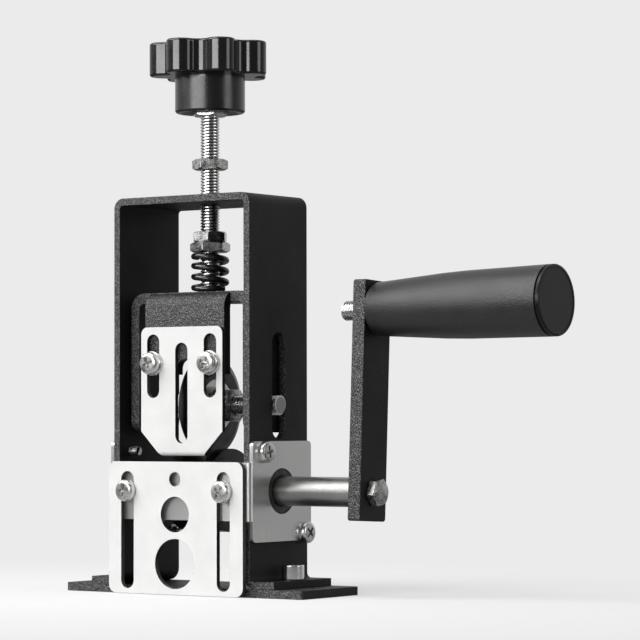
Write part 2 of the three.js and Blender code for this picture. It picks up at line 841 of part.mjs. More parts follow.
function adjustingScrew() {
  const under = yokeTop - yokeSheet;
  const washerBottom = under - retainingWasherThickness;
  const nutBottom = washerBottom - hexNutHeight;
  const low = nutBottom - screwLowerReach;
  const high = knobBottom + screwKnobReach;
  piece("adjusting_screw", turnedZ(bar(screwDiameter, low, high), smallRound), zincPlate);
  const boreDiameter = screwDiameter + 2 * runningGap;
  const bore = circle(0, 0, boreDiameter, smallRound);
  const nut = (acrossFlats, height) => alongZ(hexagon(acrossFlats), 0, height, [bore]);
  const lower = piece("spring_nut_lower", nut(springNutLowerAcrossFlats, springNutHeight), zincPlate);
  lower.position.z = springTop;
  const upper = piece("spring_nut_upper", nut(hexAcrossFlats, springNutHeight), zincPlate);
  upper.position.z = springTop + springNutHeight;
  const jam = piece("jam_nut", nut(hexAcrossFlats, jamNutHeight), zincPlate);
  jam.position.z = frameTop + jamNutAbove;
  const inKnob = piece("knob_nut", nut(hexAcrossFlats, hexNutHeight), zincPlate);
  inKnob.position.z = knobBottom - knobNutDrop;
  const retaining = piece("retaining_nut", nut(hexAcrossFlats, hexNutHeight), zincPlate);
  retaining.position.z = nutBottom;
  const washer = ring(boreDiameter, retainingWasherDiameter, washerBottom, under);
  piece("retaining_washer", turnedZ(washer, smallRound), zincPlate);
}

// The knob's plan: round lobes that run into round valleys between them
function knobPlan() {
  const halfStep = Math.PI / knobLobes;
  const across = knobLobeCentreRadius * Math.sin(halfStep);
  const reach = knobLobeRadius + knobValleyRadius;
  const valleyCentre = knobLobeCentreRadius * Math.cos(halfStep) + Math.sqrt(reach ** 2 - across ** 2);
  const lobe = new THREE.Vector2(knobLobeCentreRadius, 0);
  const valley = new THREE.Vector2(valleyCentre, 0).rotateAround(new THREE.Vector2(), halfStep);
  const touch = valley.clone().sub(lobe).angle();
  const start = lobe.clone().sub(valley).angle();
  const sweep = 2 * (start - Math.PI - halfStep);
  const points = [];
  for (let i = 0; i < knobLobes; i += 1) {
    const turn = 2 * halfStep * i + THREE.MathUtils.degToRad(knobTurnDegrees);
    const middle = new THREE.Vector2();
    const round = arc(lobe.x, lobe.y, knobLobeRadius, -touch, touch, 2 * cornerSteps);
    const hollow = arc(valley.x, valley.y, knobValleyRadius, start, start - sweep, cornerSteps);
    points.push(...[...round, ...hollow.slice(1, -1)].map((point) => point.rotateAround(middle, turn)));
  }
  return points;
}

function starKnob() {
  const head = new THREE.ExtrudeGeometry(new THREE.Shape(knobPlan()), {
    depth: knobHeadHeight - 2 * knobEdgeRadius,
    bevelThickness: knobEdgeRadius,
    bevelSize: knobEdgeRadius,
    bevelOffset: -knobEdgeRadius,
    bevelSegments: 2,
  });
  const lobed = solidOf(head.translate(0, 0, knobHubHeight + knobEdgeRadius));
  const radius = knobHubDiameter / 2;
  const recess = hexCorners / 2 + knobRecessGap;
  const bore = screwDiameter / 2 + runningGap;
  const hub = [
    [0, 0],
    [radius - knobHubChamfer, 0],
    [radius, knobHubChamfer],
    [radius, knobHubHeight + knobHeadHeight / 2],
    [0, knobHubHeight + knobHeadHeight / 2],
  ];
  const hollow = [
    [0, -overrun],
    [recess, -overrun],
    [recess, knobRecessDepth],
    [bore, knobRecessDepth],
    [bore, screwKnobReach + runningGap],
    [0, screwKnobReach + runningGap],
  ];
  const body = lobed.add(turnedZ(hub, largeRound)).subtract(turnedZ(hollow, mediumRound));
  piece("star_knob", body, blackGloss).position.z = knobBottom;
}

// Everything that turns with the shaft; the group leans so that the arm stands as it was left
function crank() {
  const group = new THREE.Group();
  group.position.z = shaftHeight;
  group.rotation.x = -THREE.MathUtils.degToRad(crankLeanDegrees);
  part.add(group);
  driveShaft(group);
  feedRoller(group);
  shaftCollars(group);
  crankArm(group);
  crankHandle(group);
}

function driveShaft(group) {
  const radius = shaftDiameter / 2;
  const left = -(frameHalf + bushFlangeThickness + shaftEndReach);
  const boltBore = crankBoltDiameter / 2 + runningGap;
  const boreEnd = crankFace - crankBoltLength + crankThickness - runningGap;
  const profile = [
    [0, left],
    [radius, left],
    [radius, crankFace],
    [boltBore, crankFace],
    [boltBore, boreEnd],
    [0, boreEnd],
  ];
  piece("drive_shaft", turnedX(profile, mediumRound), brushedSteel, group);
}

function feedRoller(group) {
  const half = rollerWidth / 2;
  const bore = shaftDiameter / 2 + runningGap;
  const profile = [
    [bore, -half],
    [rollerRadius - rollerChamfer, -half],
    [rollerRadius, -half + rollerChamfer],
    [rollerRadius, -grooveWidth / 2],
    [rollerRadius - grooveDepth, -grooveFloorWidth / 2],
    [rollerRadius - grooveDepth, grooveFloorWidth / 2],
    [rollerRadius, grooveWidth / 2],
    [rollerRadius, half - rollerChamfer],
    [rollerRadius - rollerChamfer, half],
    [bore, half],
    [bore, -half],
  ];
  const landMiddle = (half + grooveWidth / 2) / 2;
  const hole = circle(landMiddle, 0, grubDiameter + 2 * runningGap, smallRound);
  const grubBore = alongY(hole, 0, rollerRadius + overrun);
  piece("feed_roller", turnedX(profile, largeRound).subtract(grubBore), brushedSteel, group);
  const grub = bar(grubDiameter, bore, rollerRadius - grubSink);
  const screw = piece("roller_set_screw", turnedZ(grub, smallRound), darkSteel, group);
  screw.position.x = landMiddle;
  screw.rotation.x = -Math.PI / 2;
}

function shaftCollars(group) {
  const inner = frameInnerHalf - bushInnerReach - runningGap;
  const outerDiameter = shaftDiameter + 2 * collarWall;
  const profile = ring(shaftDiameter + 2 * runningGap, outerDiameter, inner - collarWidth, inner);
  const collar = turnedX(profile, mediumRound);
  for (const { side, sign } of sides) {
    piece("shaft_collar_" + side, collar, darkSteel, group).rotation.z = sign > 0 ? 0 : Math.PI;
  }
}

function crankArm(group) {
  const half = crankWidth / 2;
  const face = box(-half, half, -crankTailReach, crankRadius + crankTipReach, crankCornerRadius);
  const boltHole = circle(0, 0, crankBoltDiameter + 2 * runningGap, smallRound);
  const gripHole = circle(0, crankRadius, handleBoltDiameter + 2 * runningGap, smallRound);
  const arm = alongX(face, crankFace, crankFace + crankThickness, [boltHole, gripHole]);
  piece("crank_arm", arm, blackPowder, group);
  const outer = crankFace + crankThickness;
  const head = alongX(hexagon(crankBoltAcrossFlats), outer, outer + crankBoltHeadHeight);
  const shank = turnedX(bar(crankBoltDiameter, outer - crankBoltLength, outer + seatGap), smallRound);
  piece("crank_bolt", head.add(shank), zincPlate, group);
}

// The grip is a cone up to its knee and nearly straight from there, with a pocket for the bolt's head.
// Its bolt sits a little askew in the arm, so that the far end stands higher
function crankHandle(group) {
  const handle = new THREE.Group();
  handle.position.set(crankFace + crankThickness, 0, crankRadius);
  handle.rotation.y = -THREE.MathUtils.degToRad(handleTiltDegrees);
  group.add(handle);
  const neck = runningGap;
  const end = neck + gripLength;
  const bore = handleBoltDiameter / 2 + runningGap;
  const pocket = hexCorners / 2 + handleBoltPocketGap;
  const pocketFloor = end - capPlugLength - handleBoltEndGap - handleBoltHeadHeight - seatGap;
  const profile = [
    [bore, neck],
    [gripNeckRadius - gripEdgeRadius, neck],
    [gripNeckRadius, neck + gripEdgeRadius],
    [gripKneeRadius, neck + gripKneeShare * gripLength],
    [gripEndRadius, end],
    [pocket, end],
    [pocket, pocketFloor],
    [bore, pocketFloor],
    [bore, neck],
  ];
  piece("handle_grip", turnedX(profile, mediumRound), blackSatin, handle);
  const capStart = end + seatGap;
  const plug = pocket - runningGap;
  const cap = [
    [0, end - capPlugLength],
    [plug, end - capPlugLength],
    [plug, capStart],
    [gripEndRadius, capStart],
    [gripEndRadius, capStart + capThickness - capEdgeRadius],
    [gripEndRadius - capEdgeRadius, capStart + capThickness],
    [0, capStart + capThickness],
  ];
  piece("handle_cap", turnedX(cap, mediumRound), blackSatin, handle);
  const headStart = pocketFloor + seatGap;
  const headShape = alongX(hexagon(hexAcrossFlats), headStart, headStart + handleBoltHeadHeight);
  const threadEnd = -crankThickness - handleBoltEndReach;
  const shank = turnedX(bar(handleBoltDiameter, threadEnd, headStart + seatGap), smallRound);
  piece("handle_bolt", headShape.add(shank), zincPlate, handle);
}

basePlate();
frame();
footScrews();
bushes();
wrapBracket();
cheekScrews();
guidePlate();
guideScrews();
yoke();
bladeGuard();
guardScrews();
bladeSet();
pressureSpring();
adjustingScrew();
starKnob();
crank();

export default part;
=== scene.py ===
import math

import bmesh
import bpy
from mathutils import Matrix, Vector


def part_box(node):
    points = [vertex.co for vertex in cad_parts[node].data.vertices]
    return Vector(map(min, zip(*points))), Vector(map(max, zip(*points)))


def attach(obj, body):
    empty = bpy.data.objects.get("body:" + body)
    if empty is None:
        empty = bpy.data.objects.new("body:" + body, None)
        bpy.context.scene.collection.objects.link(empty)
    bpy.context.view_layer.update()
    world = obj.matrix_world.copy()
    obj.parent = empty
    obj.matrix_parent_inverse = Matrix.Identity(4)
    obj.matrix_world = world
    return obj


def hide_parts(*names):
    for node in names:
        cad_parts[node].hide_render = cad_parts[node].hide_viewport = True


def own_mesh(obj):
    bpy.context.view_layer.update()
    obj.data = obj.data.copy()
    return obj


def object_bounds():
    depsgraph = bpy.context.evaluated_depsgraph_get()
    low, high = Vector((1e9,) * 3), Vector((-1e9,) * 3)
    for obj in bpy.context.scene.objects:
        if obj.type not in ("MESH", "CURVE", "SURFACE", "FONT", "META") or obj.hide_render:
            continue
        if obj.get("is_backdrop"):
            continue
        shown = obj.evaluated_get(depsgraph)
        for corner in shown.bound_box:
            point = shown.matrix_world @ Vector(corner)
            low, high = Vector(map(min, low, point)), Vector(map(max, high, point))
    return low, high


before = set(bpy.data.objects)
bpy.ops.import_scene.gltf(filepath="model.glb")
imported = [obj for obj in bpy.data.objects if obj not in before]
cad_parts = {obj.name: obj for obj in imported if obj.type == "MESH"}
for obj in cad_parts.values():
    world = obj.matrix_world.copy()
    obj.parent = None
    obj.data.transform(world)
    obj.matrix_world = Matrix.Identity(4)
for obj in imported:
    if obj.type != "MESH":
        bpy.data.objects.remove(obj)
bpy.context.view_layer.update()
MM = 0.001

# Base plate: a cropped length of flat steel bar, longer than the frame's feet, with its corners
# knocked off and a hole for a bench screw near each end. It is powder coated like the frame.


def activate(obj):
    """Makes one object the only selected one."""
    bpy.ops.object.select_all(action="DESELECT")
    obj.select_set(True)
    bpy.context.view_layer.objects.active = obj


def pick(obj, kind="FACE", wanted=lambda item: True):
    """Opens an object for editing with only the faces or edges selected that pass a test."""
    activate(obj)
    bpy.ops.object.mode_set(mode="EDIT")
    bpy.ops.mesh.select_mode(type=kind)
    bpy.ops.mesh.select_all(action="DESELECT")
    mesh = bmesh.from_edit_mesh(obj.data)
    for item in mesh.faces if kind == "FACE" else mesh.edges:
        if wanted(item):
            item.select_set(True)
    bmesh.update_edit_mesh(obj.data)


def close_edit():
    """Turns every face outwards and leaves edit mode."""
    bpy.ops.mesh.select_all(action="SELECT")
    bpy.ops.mesh.remove_doubles(threshold=0.001 * MM)
    bpy.ops.mesh.normals_make_consistent(inside=False)
    bpy.ops.object.mode_set(mode="OBJECT")


def modify(obj, kind, **settings):
    """Adds a modifier and applies it."""
    modifier = obj.modifiers.new(kind.lower(), kind)
    for key, value in settings.items():
        setattr(modifier, key, value)
    activate(obj)
    bpy.ops.object.modifier_apply(modifier=modifier.name)


def combine(obj, tool, how="DIFFERENCE"):
    """Cuts a tool out of an object, or joins it on, and removes the tool."""
    modify(obj, "BOOLEAN", operation=how, solver="EXACT", object=tool)
    bpy.data.objects.remove(tool)
    return obj


def fix_place(obj, matrix):
    """Moves a part and keeps its new place in its mesh."""
    obj.matrix_world = matrix
    activate(obj)
    bpy.ops.object.transform_apply(location=True, rotation=True, scale=True)
    return obj


def primitive(add, **settings):
    """Adds one of Blender's primitives on its own, with its place and size in its mesh."""
    bpy.ops.object.select_all(action="DESELECT")
    add(**settings)
    bpy.ops.object.transform_apply(location=True, rotation=True, scale=True)
    return bpy.context.object


def block(low, high):
    """A block between two corners."""
    low, high = Vector(low), Vector(high)
    return primitive(bpy.ops.mesh.primitive_cube_add, size=1, location=(low + high) / 2, scale=high - low)


def rounded_block(low, high, radius, along, steps=8):
    """A block whose four edges along one axis (0, 1 or 2) are rounded."""
    obj = block(low, high)
    pick(obj, "EDGE", lambda edge: abs((edge.verts[0].co - edge.verts[1].co).normalized()[along]) > 0.9)
    bpy.ops.mesh.bevel(offset=radius, offset_type="OFFSET", segments=steps, affect="EDGES")
    close_edit()
    return obj


def cylinder(sides, radius, depth, middle=0.0):
    """A cylinder or prism on the Z axis."""
    settings = {"radius": radius, "depth": depth, "location": (0, 0, middle)}
    return primitive(bpy.ops.mesh.primitive_cylinder_add, vertices=sides, **settings)


def rod(diameter, start, end, sides=48):
    """A plain round rod between two points."""
    start, end = Vector(start), Vector(end)
    obj = cylinder(sides, diameter / 2, (end - start).length)
    turn = (end - start).to_track_quat("Z", "Y").to_matrix().to_4x4()
    return fix_place(obj, Matrix.Translation((start + end) / 2) @ turn)


def ease_edges(obj, width, steps=2, angle=35):
    """Rounds every sharp edge a little, as a coat or a file leaves it, and shades the rest smooth."""
    activate(obj)
    bpy.ops.object.shade_smooth()
    limit = {"limit_method": "ANGLE", "angle_limit": math.radians(angle), "use_clamp_overlap": True}
    modify(obj, "BEVEL", width=width, segments=steps, harden_normals=True, **limit)
    return obj


def fit(obj, name, body, slot, material, *nodes):
    """Names a finished piece, gives it its finish, and lets it ride in place of its CAD nodes."""
    obj.name = obj.data.name = name
    obj.data.materials.clear()
    obj.data.materials.append(material)
    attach(obj, body)
    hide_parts(*nodes)


def add_node(tree, kind, inputs=None, **settings):
    """Adds a node with its options set and its inputs set or linked."""
    node = tree.nodes.new(kind)
    for key, value in settings.items():
        setattr(node, key, value)
    for label, value in (inputs or {}).items():
        if isinstance(value, bpy.types.NodeSocket):
            tree.links.new(value, node.inputs[label])
        else:
            node.inputs[label].default_value = value
    return node


def reckon(tree, operation, first, second=0.0):
    """A sum of one or two values, which may be sockets."""
    return add_node(tree, "ShaderNodeMath", {0: first, 1: second}, operation=operation).outputs[0]


def spread(tree, value, low=0.0, high=1.0, start=0.0, end=1.0):
    """Stretches the part of a value between low and high over start to end."""
    inputs = {"Value": value, "From Min": low, "From Max": high, "To Min": start, "To Max": end}
    return add_node(tree, "ShaderNodeMapRange", inputs).outputs["Result"]


def coordinates(tree, output="Object"):
    """Where a point lies on its own piece, or another kind of coordinate."""
    return add_node(tree, "ShaderNodeTexCoord").outputs[output]


def part_of(tree, vector, axis):
    """One axis of a vector."""
    return add_node(tree, "ShaderNodeSeparateXYZ", {0: vector}).outputs[axis]


def new_group(name, inputs, outputs):
    """A shader node group with named values in and out."""
    group = bpy.data.node_groups.new(name, "ShaderNodeTree")
    for label, value in inputs.items():
        socket = group.interface.new_socket(label, in_out="INPUT", socket_type="NodeSocketFloat")
        socket.default_value = value
    for label in outputs:
        group.interface.new_socket(label, in_out="OUTPUT", socket_type="NodeSocketFloat")
    return group, group.nodes.new("NodeGroupInput").outputs, group.nodes.new("NodeGroupOutput").inputs


def sand_grain_group():
    """The pebbled skin of a sand-textured coat, from the size of one grain in millimetres."""
    group, given, made = new_group("sand grain", {"Grain": 0.4}, ["Height", "Speck"])
    where = coordinates(group)
    scale = reckon(group, "DIVIDE", 1 / MM, given["Grain"])
    noise = add_node(group, "ShaderNodeTexNoise", {"Vector": where, "Scale": scale, "Detail": 2.0})
    pebbles = add_node(group, "ShaderNodeTexVoronoi", {"Vector": where, "Scale": scale})
    sunk = reckon(group, "MULTIPLY", pebbles.outputs["Distance"], -0.5)
    height = reckon(group, "ADD", noise.outputs["Fac"], sunk)
    group.links.new(height, made["Height"])
    group.links.new(spread(group, height, 0.15, 0.5), made["Speck"])
    return group


def handling_group():
    """Where hands and cloths have polished or dulled a surface: an uneven roughness and tone."""
    values = {"Size": 15.0, "Roughness": 0.5, "Spread": 0.1}
    group, given, made = new_group("handling marks", values, ["Roughness", "Tone"])
    scale = reckon(group, "DIVIDE", 1 / MM, given["Size"])
    inputs = {"Vector": coordinates(group), "Scale": scale, "Detail": 5.0}
    tone = spread(group, add_node(group, "ShaderNodeTexNoise", inputs).outputs["Fac"], 0.3, 0.7)
    change = reckon(group, "MULTIPLY", reckon(group, "SUBTRACT", tone, 0.5), given["Spread"])
    group.links.new(reckon(group, "ADD", given["Roughness"], change), made["Roughness"])
    group.links.new(tone, made["Tone"])
    return group


sand_grain = sand_grain_group()
handling = handling_group()


def new_material(name, roughness, **plain):
    """A material with plain values on its shader; words in the names are joined by underscores."""
    material = bpy.data.materials.new(name)
    material.use_nodes = True
    shader = material.node_tree.nodes["Principled BSDF"]
    shader.inputs["Roughness"].default_value = roughness
    for label, value in plain.items():
        shader.inputs[label.replace("_", " ")].default_value = value
    return material.node_tree, shader.inputs, material


def use_group(tree, group, **inputs):
    """Places a node group in a material with its own values."""
    return add_node(tree, "ShaderNodeGroup", inputs, node_tree=group).outputs


def handled_material(name, roughness, size, change, **plain):
    """A material whose roughness changes by handling marks so many millimetres wide, and their tone."""
    tree, inputs, material = new_material(name, roughness, **plain)
    marks = use_group(tree, handling, Size=size, Roughness=roughness, Spread=change)
    tree.links.new(marks["Roughness"], inputs["Roughness"])
    return tree, inputs, material, marks["Tone"]


def shade(tree, inputs, factor, dark, light):
    """Colours a surface between a dark and a light tone."""
    tones = {"Factor": factor, 6: (*dark, 1), 7: (*light, 1)}
    mix = add_node(tree, "ShaderNodeMix", tones, data_type="RGBA")
    tree.links.new(mix.outputs[2], inputs["Base Color"])


def emboss(tree, inputs, height, depth):
    """Raises a surface by a height pattern, depth metres at most, and gives its raised normal."""
    bump = add_node(tree, "ShaderNodeBump", {"Height": height, "Strength": 1.0, "Distance": depth})
    tree.links.new(bump.outputs["Normal"], inputs["Normal"])
    return bump.outputs["Normal"]


def powder_coat():
    """Fine sand-textured black powder coat. On faces turned to the front and back its specks are painted
    lighter, as painted light from the front lamps, and its coat layer is fuller and its grain coarser.
    """
    tree, inputs, material, _ = handled_material(
        "black powder coat", 0.55, 22.0, 0.12, Specular_IOR_Level=0.3, Coat_Roughness=0.34, Coat_IOR=1.75
    )
    grain = use_group(tree, sand_grain, Grain=0.6)
    toward = part_of(tree, coordinates(tree, "Normal"), "Y")
    facing_light_and_coat = spread(tree, reckon(tree, "ABSOLUTE", toward), 0.3, 0.85)
    specks = spread(tree, grain["Speck"], 0.25, 0.8)
    # Painted light: faces turned to the front and back get lighter specks in their colour, standing in for
    # the light of the front lamps.
    painted_lit_specks = reckon(tree, "MULTIPLY", specks, facing_light_and_coat)
    shade(tree, inputs, painted_lit_specks, (0.007, 0.007, 0.0072), (0.11,) * 3)
    layer = reckon(tree, "MULTIPLY", facing_light_and_coat, spread(tree, specks, start=0.5))
    tree.links.new(layer, inputs["Coat Weight"])
    raised = reckon(tree, "MULTIPLY", grain["Height"], spread(tree, facing_light_and_coat, start=0.25))
    tree.links.new(emboss(tree, inputs, raised, 0.45 * MM), inputs["Coat Normal"])
    return material


black_powder = powder_coat()
base_low, base_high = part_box("base_plate")
base_corner = 1.5 * MM
bench_hole = 6.5 * MM
bench_hole_x = 53.9 * MM
overrun = 1 * MM
plate = rounded_block(base_low, base_high, base_corner, 2)
for hole_x in (-bench_hole_x, bench_hole_x):
    combine(plate, rod(bench_hole, (hole_x, 0, -overrun), (hole_x, 0, base_high.z + overrun)))
ease_edges(plate, 0.35 * MM)
fit(plate, "base_bar", "frame", "black_powder", black_powder, "base_plate")

# Frame: one blank of 3 mm sheet bent to an arch with two feet, slotted for the blade's stud and
# bored for the shaft, then powder coated all over.
frame_low, frame_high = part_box("u_frame")
sheet = 3 * MM
leg_half = 35 * MM
foot_bend = 5 * MM
top_bend = 4.5 * MM
shaft_height = 42.4 * MM
bush_bore = 16.6 * MM
leg_slot_half = 4.5 * MM
leg_slot_low = 63.7 * MM
leg_slot_high = 107.0 * MM
adjusting_bore = 8.6 * MM
almost_half = 0.499


def bent_strip(low, high, toward, moves, steps=8):
    """A strip of sheet that starts as a block and is drawn on from its end face by runs and bends."""
    strip = block(low, high)
    toward = Vector(toward)
    pick(strip, "FACE", lambda face: face.normal.dot(toward) > 0.9)
    for kind, *values in moves:
        if kind == "run":
            bpy.ops.mesh.extrude_region_move(TRANSFORM_OT_translate={"value": values[0]})
        else:
            centre, axis = values
            bpy.ops.mesh.spin(steps=steps, angle=-math.pi / 2, center=centre, axis=axis)
    close_edit()
    return strip


def cut_slot(obj, low, high, along):
    """Cuts a slot with round ends through a piece, along one axis (0, 1 or 2)."""
    width = min(high[axis] - low[axis] for axis in range(3) if axis != along)
    combine(obj, rounded_block(low, high, almost_half * width, along))


foot_centre = Vector((leg_half + foot_bend - sheet, 0, frame_low.z + foot_bend))
top_centre = Vector((leg_half - top_bend, 0, frame_high.z - top_bend))
leg_run = top_centre.z - foot_centre.z
foot_run = frame_high.x - foot_centre.x
arch = bent_strip(
    frame_low,
    (-foot_centre.x, frame_high.y, frame_low.z + sheet),
    (1, 0, 0),
    [
        ("bend", (-foot_centre.x, 0, foot_centre.z), (0, -1, 0)),
        ("run", (0, 0, leg_run)),
        ("bend", (-top_centre.x, 0, top_centre.z), (0, 1, 0)),
        ("run", (2 * top_centre.x, 0, 0)),
        ("bend", top_centre, (0, 1, 0)),
        ("run", (0, 0, -leg_run)),
        ("bend", foot_centre, (0, -1, 0)),
        ("run", (foot_run, 0, 0)),
    ],
)
across = leg_half + overrun
cut_slot(arch, (-across, -leg_slot_half, leg_slot_low), (across, leg_slot_half, leg_slot_high), 0)
combine(arch, rod(bush_bore, (-across, 0, shaft_height), (across, 0, shaft_height)))
combine(arch, rod(adjusting_bore, (0, 0, frame_high.z - 2 * sheet), (0, 0, frame_high.z + overrun)))
ease_edges(arch, 0.3 * MM)
fit(arch, "bent_frame", "frame", "black_powder", black_powder, "u_frame")

# Foot screws: two M5 socket cap screws through the feet into the base plate, turned from bar,
# chrome plated, with a hexagon socket in the head.


def disc(sides, radius, height=0.0):
    """A flat disc of one face across the Z axis."""
    settings = {"vertices": sides, "radius": radius, "fill_type": "NGON", "location": (0, 0, height)}
    return primitive(bpy.ops.mesh.primitive_circle_add, **settings)


def turned(stations, sides=48):
    """A turned part on +Z: a disc drawn out through (height, radius) stations and closed at both ends."""
    height, radius = stations[0]
    part = disc(sides, radius, height)
    pick(part)
    for next_height, next_radius in stations[1:]:
        growth = next_radius / radius
        bpy.ops.mesh.extrude_region_move(TRANSFORM_OT_translate={"value": (0, 0, next_height - height)})
        bpy.ops.transform.resize(value=(growth, growth, 1), center_override=(0, 0, next_height))
        height, radius = next_height, next_radius
    close_edit()
    return part


def smooth(obj, angle):
    """Shades smooth all faces that meet at less than an angle in degrees."""
    activate(obj)
    bpy.ops.object.shade_smooth_by_angle(angle=math.radians(angle))
    return obj


def seat(obj, origin, axis, turn=0.0, group=None):
    """Lays a part modelled on +Z along an axis from an origin, within a group that may lean."""
    lay = Vector((0, 0, 1)).rotation_difference(Vector(axis)).to_matrix().to_4x4()
    spun = Matrix.Rotation(turn, 4, "Z")
    return fix_place(obj, (group or Matrix()) @ Matrix.Translation(origin) @ lay @ spun)


def twin(obj):
    """A copy with its own mesh."""
    other = obj.copy()
    other.data = obj.data.copy()
    bpy.context.scene.collection.objects.link(other)
    return other


def fit_pair(part, origin, axis, turns, name, node, *finish):
    """Seats a left and a right copy of a part, mirrored about the middle, and drops the pattern."""
    for side, turn, label in zip((-1, 1), turns, ("left", "right")):
        spot, aim = Vector(origin), Vector(axis)
        spot.x *= side
        aim.x *= side
        fit(seat(twin(part), spot, aim, turn), f"{name}_{label}", *finish, f"{node}_{label}")
    bpy.data.objects.remove(part)


def brushed_group():
    """Fine lines from a belt, a brush or a lathe, from how many millimetres a line runs each way."""
    group, given, made = new_group("tool lines", {"X": 1.0, "Y": 1.0, "Z": 1.0}, ["Height", "Tone"])
    scales = [reckon(group, "DIVIDE", 1 / MM, given[axis]) for axis in "XYZ"]
    stretch = add_node(group, "ShaderNodeCombineXYZ", dict(zip("XYZ", scales))).outputs[0]
    inputs = {0: coordinates(group), 1: stretch}
    lines = add_node(group, "ShaderNodeVectorMath", inputs, operation="MULTIPLY").outputs[0]
    noise = add_node(group, "ShaderNodeTexNoise", {"Vector": lines, "Scale": 1.0, "Detail": 4.0})
    group.links.new(noise.outputs["Fac"], made["Height"])
    group.links.new(spread(group, noise.outputs["Fac"], 0.35, 0.65), made["Tone"])
    return group


tool_lines = brushed_group()


def metal(name, dark, light, roughness, rub, lines, depth, mottle=12.0):
    """Bare or plated metal: tool lines of a given run, and a roughness that changes with handling."""
    tree, inputs, material, marks = handled_material(name, roughness, mottle, rub, Metallic=1.0)
    strokes = use_group(tree, tool_lines, X=lines[0], Y=lines[1], Z=lines[2])
    tone = reckon(tree, "MULTIPLY", reckon(tree, "ADD", strokes["Tone"], marks), 0.5)
    shade(tree, inputs, tone, (dark,) * 3, (light, light, 0.98 * light))
    emboss(tree, inputs, strokes["Height"], depth)
    return material


chrome = metal("chrome plate", 0.66, 0.84, 0.16, 0.08, (6, 6, 0.3), 0.004 * MM)
foot_low, foot_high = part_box("foot_screw_right")
foot_screw_x = (foot_low.x + foot_high.x) / 2
foot_head_low = frame_low.z + sheet
foot_head = foot_high.z - foot_head_low
foot_head_radius = (foot_high.x - foot_low.x) / 2
shank_end = foot_low.z - foot_head_low
shank_radius = 2.5 * MM
socket_radius = 4 * MM / math.sqrt(3)
socket_depth = 2.6 * MM
socket_screw = turned(
    [(shank_end, shank_radius), (0, shank_radius), (0, foot_head_radius), (foot_head, foot_head_radius)]
)
ease_edges(socket_screw, 0.5 * MM, 4)
socket = cylinder(6, socket_radius, 2 * socket_depth)
smooth(combine(socket_screw, seat(socket, (0, 0, foot_head), (0, 0, 1))), 35)
foot_spot = (foot_screw_x, 0, foot_head_low)
frame_chrome = ("frame", "chrome", chrome)
fit_pair(socket_screw, foot_spot, (0, 0, 1), (0.3, 0.3), "socket_screw", "foot_screw", *frame_chrome)

# Bushes: sintered bronze, pressed into the legs from outside, with a flange that stands against
# the leg inside the bracket's cheek.
bronze = metal("oiled bronze", 0.07, 0.13, 0.5, 0.15, (0.3, 3, 3), 0.01 * MM)
bush_low, bush_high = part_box("bush_right")
bush_start = bush_low.x - leg_half
bush_radius = 8 * MM
bush_hole = 12.6 * MM
flange = bush_high.x - leg_half
flange_radius = (bush_high.z - bush_low.z) / 2


def bored(part, diameter, low, high):
    """Bores a turned part along its axis."""
    return combine(part, rod(diameter, (0, 0, low - overrun), (0, 0, high + overrun)))


bush = turned([(bush_start, bush_radius), (0, bush_radius), (0, flange_radius), (flange, flange_radius)])
ease_edges(bored(bush, bush_hole, bush_start, flange), 0.25 * MM)
bush_spot = (leg_half, 0, shaft_height)
fit_pair(bush, bush_spot, (1, 0, 0), (0, 0), "flanged_bush", "bush", "frame", "bronze", bronze)

# Wrap bracket: one blank of 1.6 mm stainless sheet folded round the front of the legs, brushed
# from top to bottom, with two tall cheeks and a lower strip between them.
stainless = metal("brushed stainless", 0.7, 0.82, 0.32, 0.06, (0.3, 0.3, 16), 0.004 * MM, 30.0)
wrap_low, wrap_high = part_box("wrap_bracket")
wrap_sheet = 1.6 * MM
wrap_bend = 2 * MM
cheek_corner = 2 * MM
strip_half = 11.8 * MM
bend_centre = Vector((wrap_high.x - wrap_bend, wrap_low.y + wrap_bend, 0))
cheek_front = wrap_low.y + wrap_sheet
wrap = bent_strip(
    (wrap_low.x, bend_centre.y, shaft_height - strip_half),
    (wrap_low.x + wrap_sheet, 0, shaft_height + strip_half),
    (0, -1, 0),
    [
        ("bend", (-bend_centre.x, bend_centre.y, 0), (0, 0, 1)),
        ("run", (2 * bend_centre.x, 0, 0)),
        ("bend", bend_centre, (0, 0, 1)),
        ("run", (0, -bend_centre.y, 0)),
    ],
)
for side in (-1, 1):
    left, right = sorted((side * leg_half, side * wrap_high.x))
    corners = (left, cheek_front, wrap_low.z), (right, wrap_high.y, wrap_high.z)
    combine(wrap, rounded_block(*corners, cheek_corner, 0), "UNION")
flange_hole = 2 * flange_radius + 0.6 * MM
combine(wrap, rod(flange_hole, (-2 * across, 0, shaft_height), (2 * across, 0, shaft_height), 64))
ease_edges(wrap, 0.22 * MM)
fit(wrap, "folded_bracket", "frame", "stainless", stainless, "wrap_bracket")

# Pan-head cross screws: cold-headed and zinc plated. M4 ones hold the bracket's cheeks to the
# legs, and their ends show inside.
zinc = metal("bright zinc", 0.55, 0.82, 0.28, 0.14, (1.8, 1.8, 1.8), 0.008 * MM, 3.0)
thread_depth_share = 0.61
crest_share = 0.24


def trim(obj, point, normal, beyond=True):
    """Cuts off what lies beyond a plane, or short of it, and closes the cut."""
    pick(obj)
    cleared = {"clear_outer": beyond, "clear_inner": not beyond}
    bpy.ops.mesh.bisect(plane_co=point, plane_no=normal, use_fill=True, **cleared)
    close_edit()


